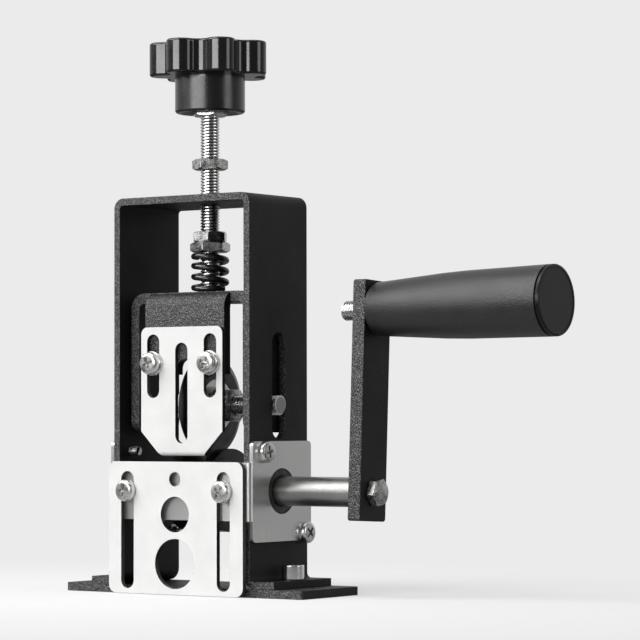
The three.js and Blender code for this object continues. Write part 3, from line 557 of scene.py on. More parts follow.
def threaded_rod(diameter, pitch, low, high, steps=24):
    """A rod with a right-hand V thread: one tooth wound up along the axis and cut square at both ends."""
    depth = thread_depth_share * pitch
    root = diameter / 2 - depth
    flank = root + depth / 2
    tooth = primitive(bpy.ops.mesh.primitive_plane_add, size=1)
    tooth.data.transform(
        Matrix(((0, depth, 0, flank), (0, 0, 1, 0), (pitch, 0, 0, low - pitch), (0, 0, 0, 1)))
    )
    pick(tooth, "EDGE", lambda edge: min(vert.co.x for vert in edge.verts) > flank)
    bpy.ops.transform.resize(value=(1, 1, crest_share), center_override=(root + depth, 0, low - pitch))
    bpy.ops.object.mode_set(mode="OBJECT")
    pick(tooth, "EDGE", lambda edge: max(vert.co.x for vert in edge.verts) < flank)
    bpy.ops.mesh.delete(type="EDGE_FACE")
    bpy.ops.object.mode_set(mode="OBJECT")
    turns = math.ceil((high - low) / pitch) + 3
    winding = {"angle": 2 * math.pi, "screw_offset": pitch, "iterations": turns}
    weld = {"use_merge_vertices": True, "merge_threshold": 0.01 * MM}
    modify(tooth, "SCREW", axis="Z", steps=steps, render_steps=steps, **winding, **weld)
    trim(tooth, (0, 0, low), (0, 0, 1), False)
    trim(tooth, (0, 0, high), (0, 0, 1))
    return smooth(tooth, 30)


def join(obj, other):
    """Puts a second solid into the same piece."""
    activate(obj)
    other.select_set(True)
    bpy.ops.object.join()
    return obj


crown_shares = [(0.0, 0.97), (0.06, 1.0), (0.56, 1.0), (0.74, 0.975), (0.87, 0.92), (0.96, 0.83), (1.0, 0.7)]
recess_width_share = 0.14
recess_span_share = 0.62
recess_depth_share = 0.55
recess_taper = 0.75


def pan_screw(head, head_height, shank, length, pitch):
    """A pan-head screw on +Z: its head stands on zero and its threaded shank hangs below."""
    crown = [(share * head_height, width * head / 2) for share, width in crown_shares]
    neck = [(-2 * pitch, shank / 2 - pitch), (0, shank / 2 - 0.4 * pitch)]
    screw = smooth(turned(neck + crown, 40), 40)
    half_span = recess_span_share * head / 2
    half_width = recess_width_share * head / 2
    floor = head_height * (1 - recess_depth_share)
    for span, width in ((half_span, half_width), (half_width, half_span)):
        tool = block((-span, -width, floor), (span, width, head_height + overrun))
        pick(tool, "FACE", lambda face: face.normal.z < -0.9)
        bpy.ops.transform.resize(value=(recess_taper, recess_taper, 1), center_override=(0, 0, floor))
        close_edit()
        combine(screw, tool)
    return join(smooth(screw, 40), threaded_rod(shank, pitch, -length, 0, 16))


cheek_low, cheek_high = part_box("bracket_screw_right_upper")
cheek_head = cheek_high.z - cheek_low.z
cheek_head_height = cheek_high.x - wrap_high.x
m4 = 4 * MM
m4_pitch = 0.7 * MM
cheek_screw = pan_screw(cheek_head, cheek_head_height, m4, wrap_high.x - cheek_low.x, m4_pitch)
recess_turns = {"left_upper": 0.5, "left_lower": 1.1, "right_upper": 0.2, "right_lower": 0.85}
for label, turn in recess_turns.items():
    low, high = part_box(f"bracket_screw_{label}")
    side = -1 if label.startswith("left") else 1
    middle = (low + high) / 2
    copy = seat(twin(cheek_screw), (side * wrap_high.x, middle.y, middle.z), (side, 0, 0), turn)
    fit(copy, f"cheek_screw_{label}", "frame", "zinc", zinc, f"bracket_screw_{label}")
bpy.data.objects.remove(cheek_screw)

# Guide plate: laser-cut 2.2 mm steel, painted near white, with three holes for cables of different
# sizes and two long slots for its clamping screws.


def satin_paint(name, lip_top=-1.0):
    """Near-white satin paint whose cut edges are bare and dark; a bent lip below lip_top is painted."""
    tree, inputs, material, marks = handled_material(name, 0.36, 9.0, 0.12, Specular_IOR_Level=0.5)
    peel = use_group(tree, sand_grain, Grain=0.9)
    normal = coordinates(tree, "Normal")
    outward = spread(tree, reckon(tree, "ABSOLUTE", part_of(tree, normal, "Y")), 0.5, 0.8)
    sideways = reckon(tree, "ABSOLUTE", part_of(tree, normal, "X"))
    bent = reckon(tree, "LESS_THAN", sideways, 0.5)
    low_down = reckon(tree, "LESS_THAN", part_of(tree, coordinates(tree), "Z"), lip_top)
    painted = reckon(tree, "MAXIMUM", outward, reckon(tree, "MULTIPLY", bent, low_down))
    tone = reckon(tree, "MULTIPLY", painted, spread(tree, marks, start=0.93))
    shade(tree, inputs, tone, (0.02,) * 3, (0.82, 0.82, 0.81))
    emboss(tree, inputs, peel["Height"], 0.012 * MM)
    return material


white_paint = satin_paint("white satin paint")
guide_low, guide_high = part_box("guide_plate")
guide_corner = 3.5 * MM
guide_holes = {47.25 * MM: 5.8 * MM, 32.9 * MM: 14.5 * MM, 12.8 * MM: 20.4 * MM}
guide_slot_x = 24.7 * MM
guide_slot_half = 3.3 * MM
guide_slot_low = 2.3 * MM
guide_slot_high = 50.4 * MM
guide_plate = rounded_block(guide_low, guide_high, guide_corner, 1)
front = guide_low.y - overrun
back = guide_high.y + overrun
for height, diameter in guide_holes.items():
    combine(guide_plate, rod(diameter, (0, front, height), (0, back, height), 64))
for middle in (-guide_slot_x, guide_slot_x):
    low = (middle - guide_slot_half, front, guide_slot_low)
    cut_slot(guide_plate, low, (middle + guide_slot_half, back, guide_slot_high), 1)
ease_edges(guide_plate, 0.2 * MM)
fit(guide_plate, "cable_guide", "guide", "white_paint", white_paint, "guide_plate")

# Guide clamps: an M5 pan-head screw through each slot, with a square-cornered hexagon nut behind
# the bracket's strip.
corner_angle = math.radians(30)
most_tries = 20


def hex_prism(across_flats, low, high, chamfer_low=True):
    """A hexagon on +Z with its corners turned off at a shallow angle above and, if wanted, below.

    The cut has faces in one plane, and a few times in a hundred it drops most of the prism. It is
    then made again.
    """
    corner = across_flats / math.sqrt(3)
    flat = 0.95 * across_flats / 2
    wide = 1.01 * corner
    fall = (corner - flat) * math.tan(corner_angle)
    stations = [(low, flat if chamfer_low else wide), (low + fall, wide), (high - fall, wide), (high, flat)]
    for _ in range(most_tries):
        prism = cylinder(6, corner, high - low, (low + high) / 2)
        combine(prism, turned(stations, 72), "INTERSECT")
        heights = [vert.co.z for vert in prism.data.vertices]
        if heights and max(heights) - min(heights) > 0.99 * (high - low):
            return prism
        bpy.data.objects.remove(prism)
    raise RuntimeError("the hexagon's corners could not be turned off")


def hex_nut(across_flats, height, bore):
    """A hexagon nut on +Z from zero, chamfered at both faces and at the mouths of its bore."""
    return ease_edges(bored(hex_prism(across_flats, 0, height), bore, 0, height), 0.22 * MM, 3)


guide_screw_low, guide_screw_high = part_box("guide_screw_right")
nut_low, nut_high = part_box("guide_nut_right")
m5 = 5 * MM
m5_pitch = 0.8 * MM
m5_head = guide_screw_high.z - guide_screw_low.z
m5_head_height = 3 * MM
m5_nut_flats = 8 * MM
m5_nut_bore = 4.6 * MM
head_plane = guide_screw_low.y + m5_head_height
guide_screw = pan_screw(m5_head, m5_head_height, m5, guide_screw_high.y - head_plane, m5_pitch)
guide_nut = hex_nut(m5_nut_flats, nut_high.y - nut_low.y, m5_nut_bore)
screw_spot = (guide_slot_x, head_plane, shaft_height)
nut_spot = (guide_slot_x, nut_low.y, shaft_height)
frame_zinc = ("frame", "zinc", zinc)
fit_pair(guide_screw, screw_spot, (0, -1, 0), (-0.1, 0.9), "clamp_screw", "guide_screw", *frame_zinc)
fit_pair(guide_nut, nut_spot, (0, 1, 0), (0.2, 0.2), "clamp_nut", "guide_nut", *frame_zinc)

# Drive shaft: 12 mm ground steel bar that leans with the crank as it was left, with a collar
# inside each leg to keep it in place.
turned_steel = metal("turned steel", 0.26, 0.4, 0.34, 0.12, (0.16, 8, 8), 0.006 * MM)
dark_steel = metal("dark hardened steel", 0.05, 0.1, 0.36, 0.16, (0.16, 10, 10), 0.008 * MM)
crank_lean = math.radians(2.8)
lean = Matrix.Translation((0, 0, shaft_height)) @ Matrix.Rotation(-crank_lean, 4, "X")
x_axis = (1, 0, 0)
shaft_low, shaft_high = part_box("drive_shaft")
shaft_radius = 6 * MM


def ring(outer_diameter, bore, thickness, edge):
    """A flat ring on +Z from zero."""
    solid = turned([(0, outer_diameter / 2), (thickness, outer_diameter / 2)])
    return ease_edges(bored(solid, bore, 0, thickness), edge)


shaft = turned([(shaft_low.x, shaft_radius), (shaft_high.x, shaft_radius)], 64)
seat(ease_edges(shaft, 0.6 * MM, 3), (0, 0, 0), x_axis, 0, lean)
fit(shaft, "crank_shaft", "crank", "stainless", turned_steel, "drive_shaft")
for label in ("left", "right"):
    low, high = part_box(f"shaft_collar_{label}")
    collar = ring(high.z - low.z, 2 * shaft_radius, high.x - low.x, 0.5 * MM)
    seat(collar, (low.x, 0, 0), x_axis, 0, lean)
    fit(collar, f"stop_collar_{label}", "crank", "dark_steel", dark_steel, f"shaft_collar_{label}")

# Feed roller: turned steel with a V groove that carries the cable under the blade, locked to the
# shaft by a grub screw in one land.
roller_low, roller_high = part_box("feed_roller")
roller_half = (roller_high.x - roller_low.x) / 2
roller_radius = (roller_high.z - roller_low.z) / 2
groove_half = 6 * MM
groove_floor = 0.5 * MM
groove_radius = roller_radius - 6 * MM
half_outline = [(roller_half, roller_radius), (groove_half, roller_radius), (groove_floor, groove_radius)]
left_outline = [(-along, radius) for along, radius in half_outline]
roller = turned(left_outline + half_outline[::-1], 96)
grub_low, grub_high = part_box("roller_set_screw")
grub_x = (grub_low.x + grub_high.x) / 2
grub_bore = 3.3 * MM
grub_end = 16.4 * MM
combine(roller, rod(grub_bore, (0, 0, grub_x), (0, 2 * roller_radius, grub_x), 24))
ease_edges(bored(roller, 2 * shaft_radius, -roller_half, roller_half), 0.5 * MM, 2, 25)
seat(roller, (0, 0, 0), x_axis, -math.pi / 2, lean)
fit(roller, "grooved_roller", "crank", "dark_steel", dark_steel, "feed_roller")
grub = threaded_rod(3 * MM, 0.5 * MM, 0, grub_end - shaft_radius, 16)
seat(grub, (grub_x, shaft_radius, 0), (0, 1, 0), 0, lean)
fit(grub, "roller_grub_screw", "crank", "dark_steel", dark_steel, "roller_set_screw")

# Crank arm: flat bar with barely broken corners, powder coated, held on the shaft's end by an M6
# hexagon bolt.
crank_face = 75.5 * MM
crank_thickness = 6 * MM
crank_outer = crank_face + crank_thickness
crank_half = 9.25 * MM
crank_tail = 11.5 * MM
crank_tip = 84.7 * MM
crank_corner = 1.2 * MM
arm_low = (crank_face, -crank_half, -crank_tail)
arm = rounded_block(arm_low, (crank_outer, crank_half, crank_tip), crank_corner, 0)
fix_place(ease_edges(arm, 0.45 * MM, 3), lean)
fit(arm, "crank_bar", "crank", "black_powder", black_powder, "crank_arm")
dull_zinc = metal("dull zinc", 0.12, 0.8, 0.3, 0.2, (0.8, 0.8, 0.8), 0.06 * MM, 2.5)
m6 = 6 * MM
m6_pitch = 1 * MM
m6_flats = 10 * MM
bolt_low, bolt_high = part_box("crank_bolt")
washer_face = 0.4 * MM
washer_face_share = 0.46


def hex_bolt(flats, head_height, diameter, pitch, length):
    """A hexagon head on +Z with its shank hanging below zero."""
    bolt = hex_prism(flats, washer_face, head_height, chamfer_low=False)
    face = washer_face_share * flats
    ease_edges(combine(bolt, turned([(0, face), (2 * washer_face, face)]), "UNION"), 0.3 * MM, 3)
    return join(bolt, threaded_rod(diameter, pitch, -length, washer_face))


crank_bolt = hex_bolt(m6_flats, bolt_high.x - crank_outer, m6, m6_pitch, crank_outer - bolt_low.x)
seat(crank_bolt, (crank_outer, 0, 0), x_axis, 0.2, lean)
fit(crank_bolt, "arm_bolt", "crank", "zinc", dull_zinc, "crank_bolt")

# Handle: a moulded satin grip, a cone up to its knee and nearly straight from there, that turns on
# a long M8 bolt set a little askew; the bolt's bare thread stands out behind the arm, and a cap
# closes the grip's end.
crank_radius = 73.2 * MM
handle_tilt = math.radians(1.15)
pivot = Matrix.Translation((crank_outer, 0, crank_radius))
askew = lean @ pivot @ Matrix.Rotation(-handle_tilt, 4, "Y")
grip_start = 0.3 * MM
grip_length = 80.9 * MM
grip_end = grip_start + grip_length
bolt_head_start = grip_end - 7.8 * MM
bolt_bare_end = crank_thickness + 9.2 * MM
m8 = 8 * MM
m8_pitch = 1.25 * MM
m8_flats = 13 * MM
m8_head = 5.5 * MM
handle_bolt = hex_bolt(m8_flats, m8_head, m8, m8_pitch, bolt_bare_end + bolt_head_start)
seat(handle_bolt, (bolt_head_start, 0, 0), x_axis, 0, askew)
fit(handle_bolt, "grip_bolt", "crank", "zinc", zinc, "handle_bolt")


def moulded_plastic(name, colour, sheen, roughness, grain, depth):
    """Moulded black plastic with a faint spark-eroded grain."""
    tree, inputs, material, marks = handled_material(name, roughness, 14.0, 0.1, Specular_IOR_Level=sheen)
    skin = use_group(tree, sand_grain, Grain=grain)
    shade(tree, inputs, marks, (0.8 * colour,) * 3, (1.2 * colour,) * 3)
    emboss(tree, inputs, skin["Height"], depth)
    return material


black_satin = moulded_plastic("satin grip plastic", 0.012, 0.7, 0.42, 0.6, 0.09 * MM)
neck_radius = 10.8 * MM
knee_radius = 13.35 * MM
end_radius = 14 * MM
knee_share = 0.46
knee_round = 0.07
grip_edge = 0.8 * MM
groove_width = 0.6 * MM
groove_sink = 0.8 * MM
pocket_radius = 8.5 * MM
bolt_bore = 8.6 * MM
grip_run = grip_length - grip_edge
swell = [(grip_start, neck_radius - grip_edge), (grip_start + 0.3 * grip_edge, neck_radius - 0.3 * grip_edge)]
for share in (0.0, 0.2, knee_share - knee_round, knee_share + knee_round, 0.8):
    if share < knee_share:
        radius = neck_radius + (knee_radius - neck_radius) * share / knee_share
    else:
        radius = knee_radius + (end_radius - knee_radius) * (share - knee_share) / (1 - knee_share)
    swell.append((grip_start + grip_edge + share * grip_run, radius))
swell += [
    (grip_end - groove_width, end_radius),
    (grip_end - 0.9 * groove_width, end_radius - groove_sink),
    (grip_end, end_radius - groove_sink),
]
grip = turned(swell, 72)
pocket_floor = bolt_head_start - 0.2 * MM
combine(grip, rod(bolt_bore, (0, 0, grip_start - overrun), (0, 0, grip_end), 32))
combine(grip, rod(2 * pocket_radius, (0, 0, pocket_floor), (0, 0, grip_end + overrun), 48))
seat(smooth(grip, 40), (0, 0, 0), x_axis, 0, askew)
fit(grip, "turning_grip", "handle", "black_satin", black_satin, "handle_grip")
cap_edge = 0.5 * MM
cap_seat = grip_end + 0.2 * MM
cap_end = cap_seat + 1.45 * MM
plug_radius = pocket_radius - 0.3 * MM
rim_radius = end_radius - 1.1 * MM
step_depth = 0.25 * MM
cap = turned(
    [
        (grip_end - 1.5 * MM, plug_radius),
        (cap_seat, plug_radius),
        (cap_seat, end_radius - 0.3 * cap_edge),
        (cap_seat + 0.3 * cap_edge, end_radius),
        (cap_end - cap_edge, end_radius),
        (cap_end - 0.3 * cap_edge, end_radius - 0.3 * cap_edge),
        (cap_end, end_radius - cap_edge),
        (cap_end, rim_radius),
        (cap_end - step_depth, rim_radius - step_depth),
        (cap_end - step_depth, 0.2 * end_radius),
    ],
    72,
)
seat(smooth(cap, 40), (0, 0, 0), x_axis, 0, askew)
smooth_satin = moulded_plastic("satin cap plastic", 0.006, 0.3, 0.32, 0.5, 0.01 * MM)
fit(cap, "grip_end_cap", "handle", "black_satin", smooth_satin, "handle_cap")

# Yoke: thick sheet bent to a small arch that carries the blade, with a tongue bent down in front
# and notched for the blade. Powder coated.
yoke_low, yoke_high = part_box("yoke")
yoke_sheet = 4.2 * MM
yoke_bend = 6.5 * MM
yoke_half_depth = 13.5 * MM
yoke_corner = 5 * MM
tongue_half = 20.4 * MM
tongue_low = 90.0 * MM
notch_high = 96.36 * MM
notch_width = 8 * MM
axle_height = 77.3 * MM
axle_bore = m8 + 0.6 * MM
arch_centre = Vector((yoke_high.x - yoke_bend, 0, yoke_high.z - yoke_bend))
yoke = bent_strip(
    (yoke_low.x, -yoke_half_depth, yoke_low.z),
    (yoke_low.x + yoke_sheet, yoke_half_depth, arch_centre.z),
    (0, 0, 1),
    [
        ("bend", (-arch_centre.x, 0, arch_centre.z), (0, 1, 0)),
        ("run", (2 * arch_centre.x, 0, 0)),
        ("bend", arch_centre, (0, 1, 0)),
        ("run", (0, 0, yoke_low.z - arch_centre.z)),
    ],
)
leg_low = (2 * yoke_low.x, -yoke_half_depth, yoke_low.z)
leg_high = (2 * yoke_high.x, yoke_half_depth, yoke_high.z + 2 * yoke_corner)
combine(yoke, rounded_block(leg_low, leg_high, yoke_corner, 0), "INTERSECT")
tongue_centre = Vector((0, yoke_low.y + yoke_bend, yoke_high.z - yoke_bend))
tongue = bent_strip(
    (-tongue_half, tongue_centre.y, yoke_high.z - yoke_sheet),
    (tongue_half, 0, yoke_high.z),
    (0, -1, 0),
    [("bend", tongue_centre, (1, 0, 0)), ("run", (0, 0, tongue_low - tongue_centre.z))],
)
combine(yoke, tongue, "UNION")
notch_low = (-notch_width / 2, yoke_low.y - overrun, tongue_low - notch_width)
cut_slot(yoke, notch_low, (notch_width / 2, yoke_low.y + yoke_sheet + overrun, notch_high), 1)
combine(yoke, rod(axle_bore, (-across, 0, axle_height), (across, 0, axle_height)))
combine(yoke, rod(adjusting_bore, (0, 0, arch_centre.z), (0, 0, yoke_high.z + overrun)))
ease_edges(yoke, 0.4 * MM, 3)
fit(yoke, "blade_yoke", "yoke", "black_powder", black_powder, "yoke")

# Blade: a round hardened cutter with a bevelled edge, its boss bored for a shielded ball bearing
# that runs on the stud.
blade_low, blade_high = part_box("blade_disc")
blade_radius = (blade_high.y - blade_low.y) / 2
bevel_radius = blade_radius - 2.8 * MM
blade_half = 1.5 * MM
edge_half = 0.15 * MM
boss_radius = 13 * MM
boss_half = 3.5 * MM
bearing_radius = 11 * MM
running_clearance = 0.4 * MM
half_outline = [(boss_half, boss_radius), (blade_half, boss_radius)]
half_outline += [(blade_half, bevel_radius), (edge_half, blade_radius)]
left_outline = [(-along, radius) for along, radius in half_outline]
blade = turned(left_outline + half_outline[::-1], 128)
smooth(bored(blade, 2 * bearing_radius + running_clearance, -boss_half, boss_half), 20)
seat(blade, (0, 0, axle_height), x_axis)
fit(blade, "round_blade", "blade", "dark_steel", dark_steel, "blade_disc")
race_width = 2.2 * MM
shield_sink = 0.4 * MM
stud_clearance = m8 + running_clearance
bearing = turned([(-boss_half, bearing_radius), (boss_half, bearing_radius)], 64)
ease_edges(bored(bearing, stud_clearance, -boss_half, boss_half), 0.4 * MM)
for end in (-1, 1):
    outer = end * (boss_half + overrun)
    inner = end * (boss_half - shield_sink)
    groove = rod(2 * (bearing_radius - race_width), (0, 0, inner), (0, 0, outer), 64)
    combine(groove, rod(m8 + 2 * race_width, (0, 0, -2 * boss_half), (0, 0, 2 * boss_half)))
    combine(bearing, groove)
seat(smooth(bearing, 30), (0, 0, axle_height), x_axis)
fit(bearing, "ball_bearing", "blade", "stainless", stainless, "blade_bearing")

# Stud through the blade and both leg slots: M8 threaded bar, with a spacer, a washer and a nut on
# each side of the bearing.
stud_low, stud_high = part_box("axle_stud")
thread_crest = m8 / 2
thread_root = thread_crest - thread_depth_share * m8_pitch


def root_shaded_zinc(name, centre, across_axis):
    """Bright zinc whose thread roots, near the axis through a centre, are painted darker: painted shade
    between the threads.
    """
    tree, inputs, material, _ = handled_material(name, 0.25, 3.0, 0.12, Metallic=1.0)
    steps = {"SUBTRACT": centre, "MULTIPLY": across_axis}
    place = coordinates(tree)
    for operation, vector in steps.items():
        place = add_node(tree, "ShaderNodeVectorMath", {0: place, 1: vector}, operation=operation).outputs[0]
    radius = add_node(tree, "ShaderNodeVectorMath", {0: place}, operation="LENGTH").outputs["Value"]
    # Painted shade: the colour darkens from the thread crests into the roots, where shade falls between the
    # threads.
    out_of_root_shade = spread(tree, radius, thread_root, thread_crest - 0.15 * MM)
    shade(tree, inputs, out_of_root_shade, (0.3,) * 3, (0.85,) * 3)
    return material


stud = threaded_rod(m8, m8_pitch, stud_low.x, stud_high.x)
seat(stud, (0, 0, axle_height), x_axis)
stud_finish = root_shaded_zinc("zinc stud with painted root shade", (0, 0, axle_height), (0, 1, 1))
fit(stud, "blade_stud", "yoke", "zinc", stud_finish, "axle_stud")
for side, label in ((-1, "left"), (1, "right")):
    for kind, plated in (("spacer", zinc), ("washer", zinc), ("nut", dull_zinc)):
        low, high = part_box(f"axle_{kind}_{label}")
        if kind == "nut":
            part = hex_nut(m8_flats, high.x - low.x, stud_clearance)
        else:
            part = ring(high.z - low.z, stud_clearance, high.x - low.x, 0.2 * MM)
        seat(part, (low.x if side > 0 else high.x, 0, axle_height), (side, 0, 0))
        fit(part, f"stud_{kind}_{label}", "yoke", "zinc", plated, f"axle_{kind}_{label}")

# Blade guard: 2 mm sheet painted near white, with cut-off lower corners, a slot that the blade
# looks through, two slots for its screws and a lip turned back at the bottom.
guard_low, guard_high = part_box("blade_guard")
guard_sheet = 2 * MM
guard_back = guard_low.y + guard_sheet
guard_corner = 3 * MM
lip_half = guard_high.x - 10 * MM
screw_slot_x = 14.7 * MM
screw_slot_width, screw_slot_low, screw_slot_high = 6.3 * MM, 80.5 * MM, 106.6 * MM
blade_slot_width, blade_slot_low, blade_slot_high = 6.25 * MM, 61.9 * MM, 103.0 * MM
sheet_end = guard_low.z + guard_sheet
guard = rounded_block(
    (guard_low.x, guard_low.y, sheet_end - 2 * guard_corner),
    (guard_high.x, guard_back, guard_high.z),
    guard_corner,
    1,
)
trim(guard, (0, 0, sheet_end), (0, 0, 1), False)
lip = bent_strip(
    (guard_low.x, guard_low.y, sheet_end),
    (guard_high.x, guard_back, sheet_end + guard_sheet),
    (0, 0, -1),
    [("bend", (0, guard_back, sheet_end), (1, 0, 0)), ("run", (0, guard_high.y - guard_back, 0))],
)
combine(guard, lip, "UNION")
slots = [(0, blade_slot_width, blade_slot_low, blade_slot_high)]
for side in (-1, 1):
    trim(guard, (side * lip_half, 0, guard_low.z), (side, 0, -1))
    slots.append((side * screw_slot_x, screw_slot_width, screw_slot_low, screw_slot_high))
for middle, width, low, high in slots:
    bottom = (middle - width / 2, guard_low.y - overrun, low)
    cut_slot(guard, bottom, (middle + width / 2, guard_back + overrun, high), 1)
ease_edges(guard, 0.2 * MM)
guard_paint = satin_paint("white guard paint", sheet_end + guard_sheet)
fit(guard, "painted_guard", "guard", "white_paint", guard_paint, "blade_guard")

# Guard screws: two M5 pan-head cross screws with plain washers, clamping the guard to the tongue.
# They are zinc plated like the screws of the guide plate.
guard_screw_low, guard_screw_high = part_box("guard_screw_right")
washer_low, washer_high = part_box("guard_washer_right")
guard_screw_z = (guard_screw_low.z + guard_screw_high.z) / 2
guard_screw_length = guard_screw_high.y - guard_screw_low.y - m5_head_height
guard_screw = pan_screw(m5_head, m5_head_height, m5, guard_screw_length, m5_pitch)
guard_washer = ring(washer_high.z - washer_low.z, m5, washer_high.y - washer_low.y, 0.2 * MM)
screw_spot = (screw_slot_x, guard_screw_low.y + m5_head_height, guard_screw_z)
washer_spot = (screw_slot_x, washer_high.y, guard_screw_z)
yoke_zinc = ("yoke", "zinc", zinc)
fit_pair(guard_screw, screw_spot, (0, -1, 0), (0.4, 1.1), "tongue_screw", "guard_screw", *yoke_zinc)
fit_pair(guard_washer, washer_spot, (0, -1, 0), (0, 0), "tongue_washer", "guard_washer", *yoke_zinc)

# Adjusting screw: M8 threaded bar from the knob down into the yoke, with a jam nut above the
# frame, two nuts that press on the spring, and a nut and washer that lift the yoke.
screw_low, screw_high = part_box("adjusting_screw")
bar_finish = root_shaded_zinc("zinc bar with painted root shade", (0, 0, 0), (1, 1, 0))
adjusting = threaded_rod(m8, m8_pitch, screw_low.z, screw_high.z, 28)
fit(adjusting, "threaded_bar", "screw", "zinc", bar_finish, "adjusting_screw")
m8_nut_bore = 7.4 * MM
m8_washer_bore = 8.4 * MM
nut_turns = {
    "spring_nut_lower": ("pressure_nut_lower", -16.4, dull_zinc),
    "spring_nut_upper": ("pressure_nut_upper", 0.0, dull_zinc),
    "jam_nut": ("lock_nut", 35.0, dull_zinc),
    "knob_nut": ("hub_nut", 20.0, zinc),
    "retaining_nut": ("lifting_nut", 10.0, dull_zinc),
}
for node, (name, turn, plated) in nut_turns.items():
    low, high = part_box(node)
    nut = hex_nut(high.y - low.y, high.z - low.z, m8_nut_bore)
    seat(nut, (0, 0, low.z), (0, 0, 1), math.radians(turn + 90))
    fit(nut, name, "screw", "zinc", plated, node)
low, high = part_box("retaining_washer")
washer_play = 0.03 * MM
washer = ring(high.x - low.x, m8_washer_bore, high.z - low.z - washer_play, 0.25 * MM)
seat(washer, (0, 0, low.z), (0, 0, 1))
fit(washer, "lifting_washer", "screw", "zinc", zinc, "retaining_washer")

# Pressure spring: glossy black wire wound left-handed, with its end coils closed flat on the yoke
# and under the nuts.


def wire_coat():
    """Glossy black wire with dull rubbed patches."""
    tree, inputs, material, marks = handled_material(
        "black spring wire", 0.16, 4.0, 0.14, Specular_IOR_Level=0.9
    )
    skin = use_group(tree, sand_grain, Grain=0.6)
    shade(tree, inputs, marks, (0.006,) * 3, (0.016,) * 3)
    emboss(tree, inputs, skin["Height"], 0.015 * MM)
    return material


spring_low, spring_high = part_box("pressure_spring")
wire = 2.65 * MM
coil_radius = 8 * MM - wire / 2
spring_turns = 3.5
flat_turns = 0.25
spring_steps = 40
lowest = spring_low.z + wire / 2
climb_height = spring_high.z - spring_low.z - wire
path = bpy.data.curves.new("spring path", "CURVE")
path.dimensions = "3D"
path.bevel_depth = wire / 2
path.bevel_resolution = 5
path.use_fill_caps = True
coil = path.splines.new("POLY")
count = int(spring_turns * spring_steps)
coil.points.add(count)
for step in range(count + 1):
    turn = step / spring_steps
    climb = min(max((turn - flat_turns) / (spring_turns - 2 * flat_turns), 0), 1)
    angle = -2 * math.pi * turn
    spot = (coil_radius * math.cos(angle), coil_radius * math.sin(angle), lowest + climb * climb_height)
    coil.points[step].co = (*spot, 1)
spring = bpy.data.objects.new("coil_spring", path)
bpy.context.scene.collection.objects.link(spring)
activate(spring)
bpy.ops.object.convert(target="MESH")
spring = smooth(bpy.context.object, 50)
fit(spring, "coil_spring", "spring", "black_wire", wire_coat(), "pressure_spring")
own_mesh(spring)

# Star knob: one black phenolic moulding, a lobed head on a round hub, with a nut moulded into the
# recess under the hub.
knob_low, knob_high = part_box("star_knob")
hub_height = 15.1 * MM
hub_radius = 14.55 * MM
hub_chamfer = 0.8 * MM
lobe_count = 7
points_per_lobe = 56
lobe_radius = 6.14 * MM
lobe_centre = 19.0 * MM
valley_radius = 4 * MM
knob_turn = math.radians(-39.85)
recess_depth = 5.3 * MM
recess_radius = 8.5 * MM
dish_radius = 12.3 * MM
dish_depth = 1.2 * MM


def lobed_radius(angle):
    """How far the knob's outline lies from its axis: round lobes that run into round valleys."""
    half_step = math.pi / lobe_count
    off = abs((angle - knob_turn + half_step) % (2 * half_step) - half_step)
    touch = lobe_radius + valley_radius
    reach = math.sqrt(touch**2 - (lobe_centre * math.sin(half_step)) ** 2)
    valley_centre = lobe_centre * math.cos(half_step) + reach
    valley = Vector((valley_centre * math.cos(half_step), valley_centre * math.sin(half_step)))
    meeting = Vector((lobe_centre, 0)).lerp(valley, lobe_radius / touch)
    if off < math.atan2(meeting.y, meeting.x):
        return lobe_centre * math.cos(off) + math.sqrt(lobe_radius**2 - (lobe_centre * math.sin(off)) ** 2)
    off = half_step - off
    return valley_centre * math.cos(off) - math.sqrt(valley_radius**2 - (valley_centre * math.sin(off)) ** 2)


def phenolic():
    """Black phenolic moulding: polished lobes on a hub that is left satin."""
    tree, inputs, material = new_material("gloss knob plastic", 0.1, Specular_IOR_Level=0.5, IOR=1.62)
    marks = use_group(tree, handling, Size=6.0, Roughness=0.0, Spread=0.06)
    skin = use_group(tree, sand_grain, Grain=1.0)
    height = part_of(tree, coordinates(tree), "Z")
    polish = spread(tree, height, knob_low.z + 0.9 * hub_height, knob_low.z + hub_height, 0.27, 0.13)
    tree.links.new(reckon(tree, "ADD", polish, marks["Roughness"]), inputs["Roughness"])
    shade(tree, inputs, marks["Tone"], (0.003,) * 3, (0.006,) * 3)
    emboss(tree, inputs, skin["Height"], 0.006 * MM)
    return material


black_gloss = phenolic()
head = disc(points_per_lobe * lobe_count, lobe_centre)
for vert in head.data.vertices:
    angle = math.atan2(vert.co.y, vert.co.x)
    vert.co.xy = Vector((math.cos(angle), math.sin(angle))) * lobed_radius(angle)
    vert.co.z = knob_low.z + hub_height
head_height = knob_high.z - knob_low.z - hub_height
pick(head)
bpy.ops.mesh.extrude_region_move(TRANSFORM_OT_translate={"value": (0, 0, head_height)})
close_edit()
ease_edges(head, 1 * MM, 5, 60)
hub = turned(
    [
        (0, hub_radius - hub_chamfer),
        (0.3 * hub_chamfer, hub_radius - 0.5 * hub_chamfer),
        (hub_chamfer, hub_radius),
        (hub_height + head_height / 2, hub_radius),
    ],
    96,
)
combine(hub, turned([(-overrun, dish_radius), (0, dish_radius), (dish_depth, recess_radius)], 96))
combine(hub, rod(2 * recess_radius, (0, 0, -overrun), (0, 0, recess_depth), 64))
seat(smooth(hub, 35), (0, 0, knob_low.z), (0, 0, 1))
fit(join(head, hub), "star_grip", "screw", "black_gloss", black_gloss, "star_knob")

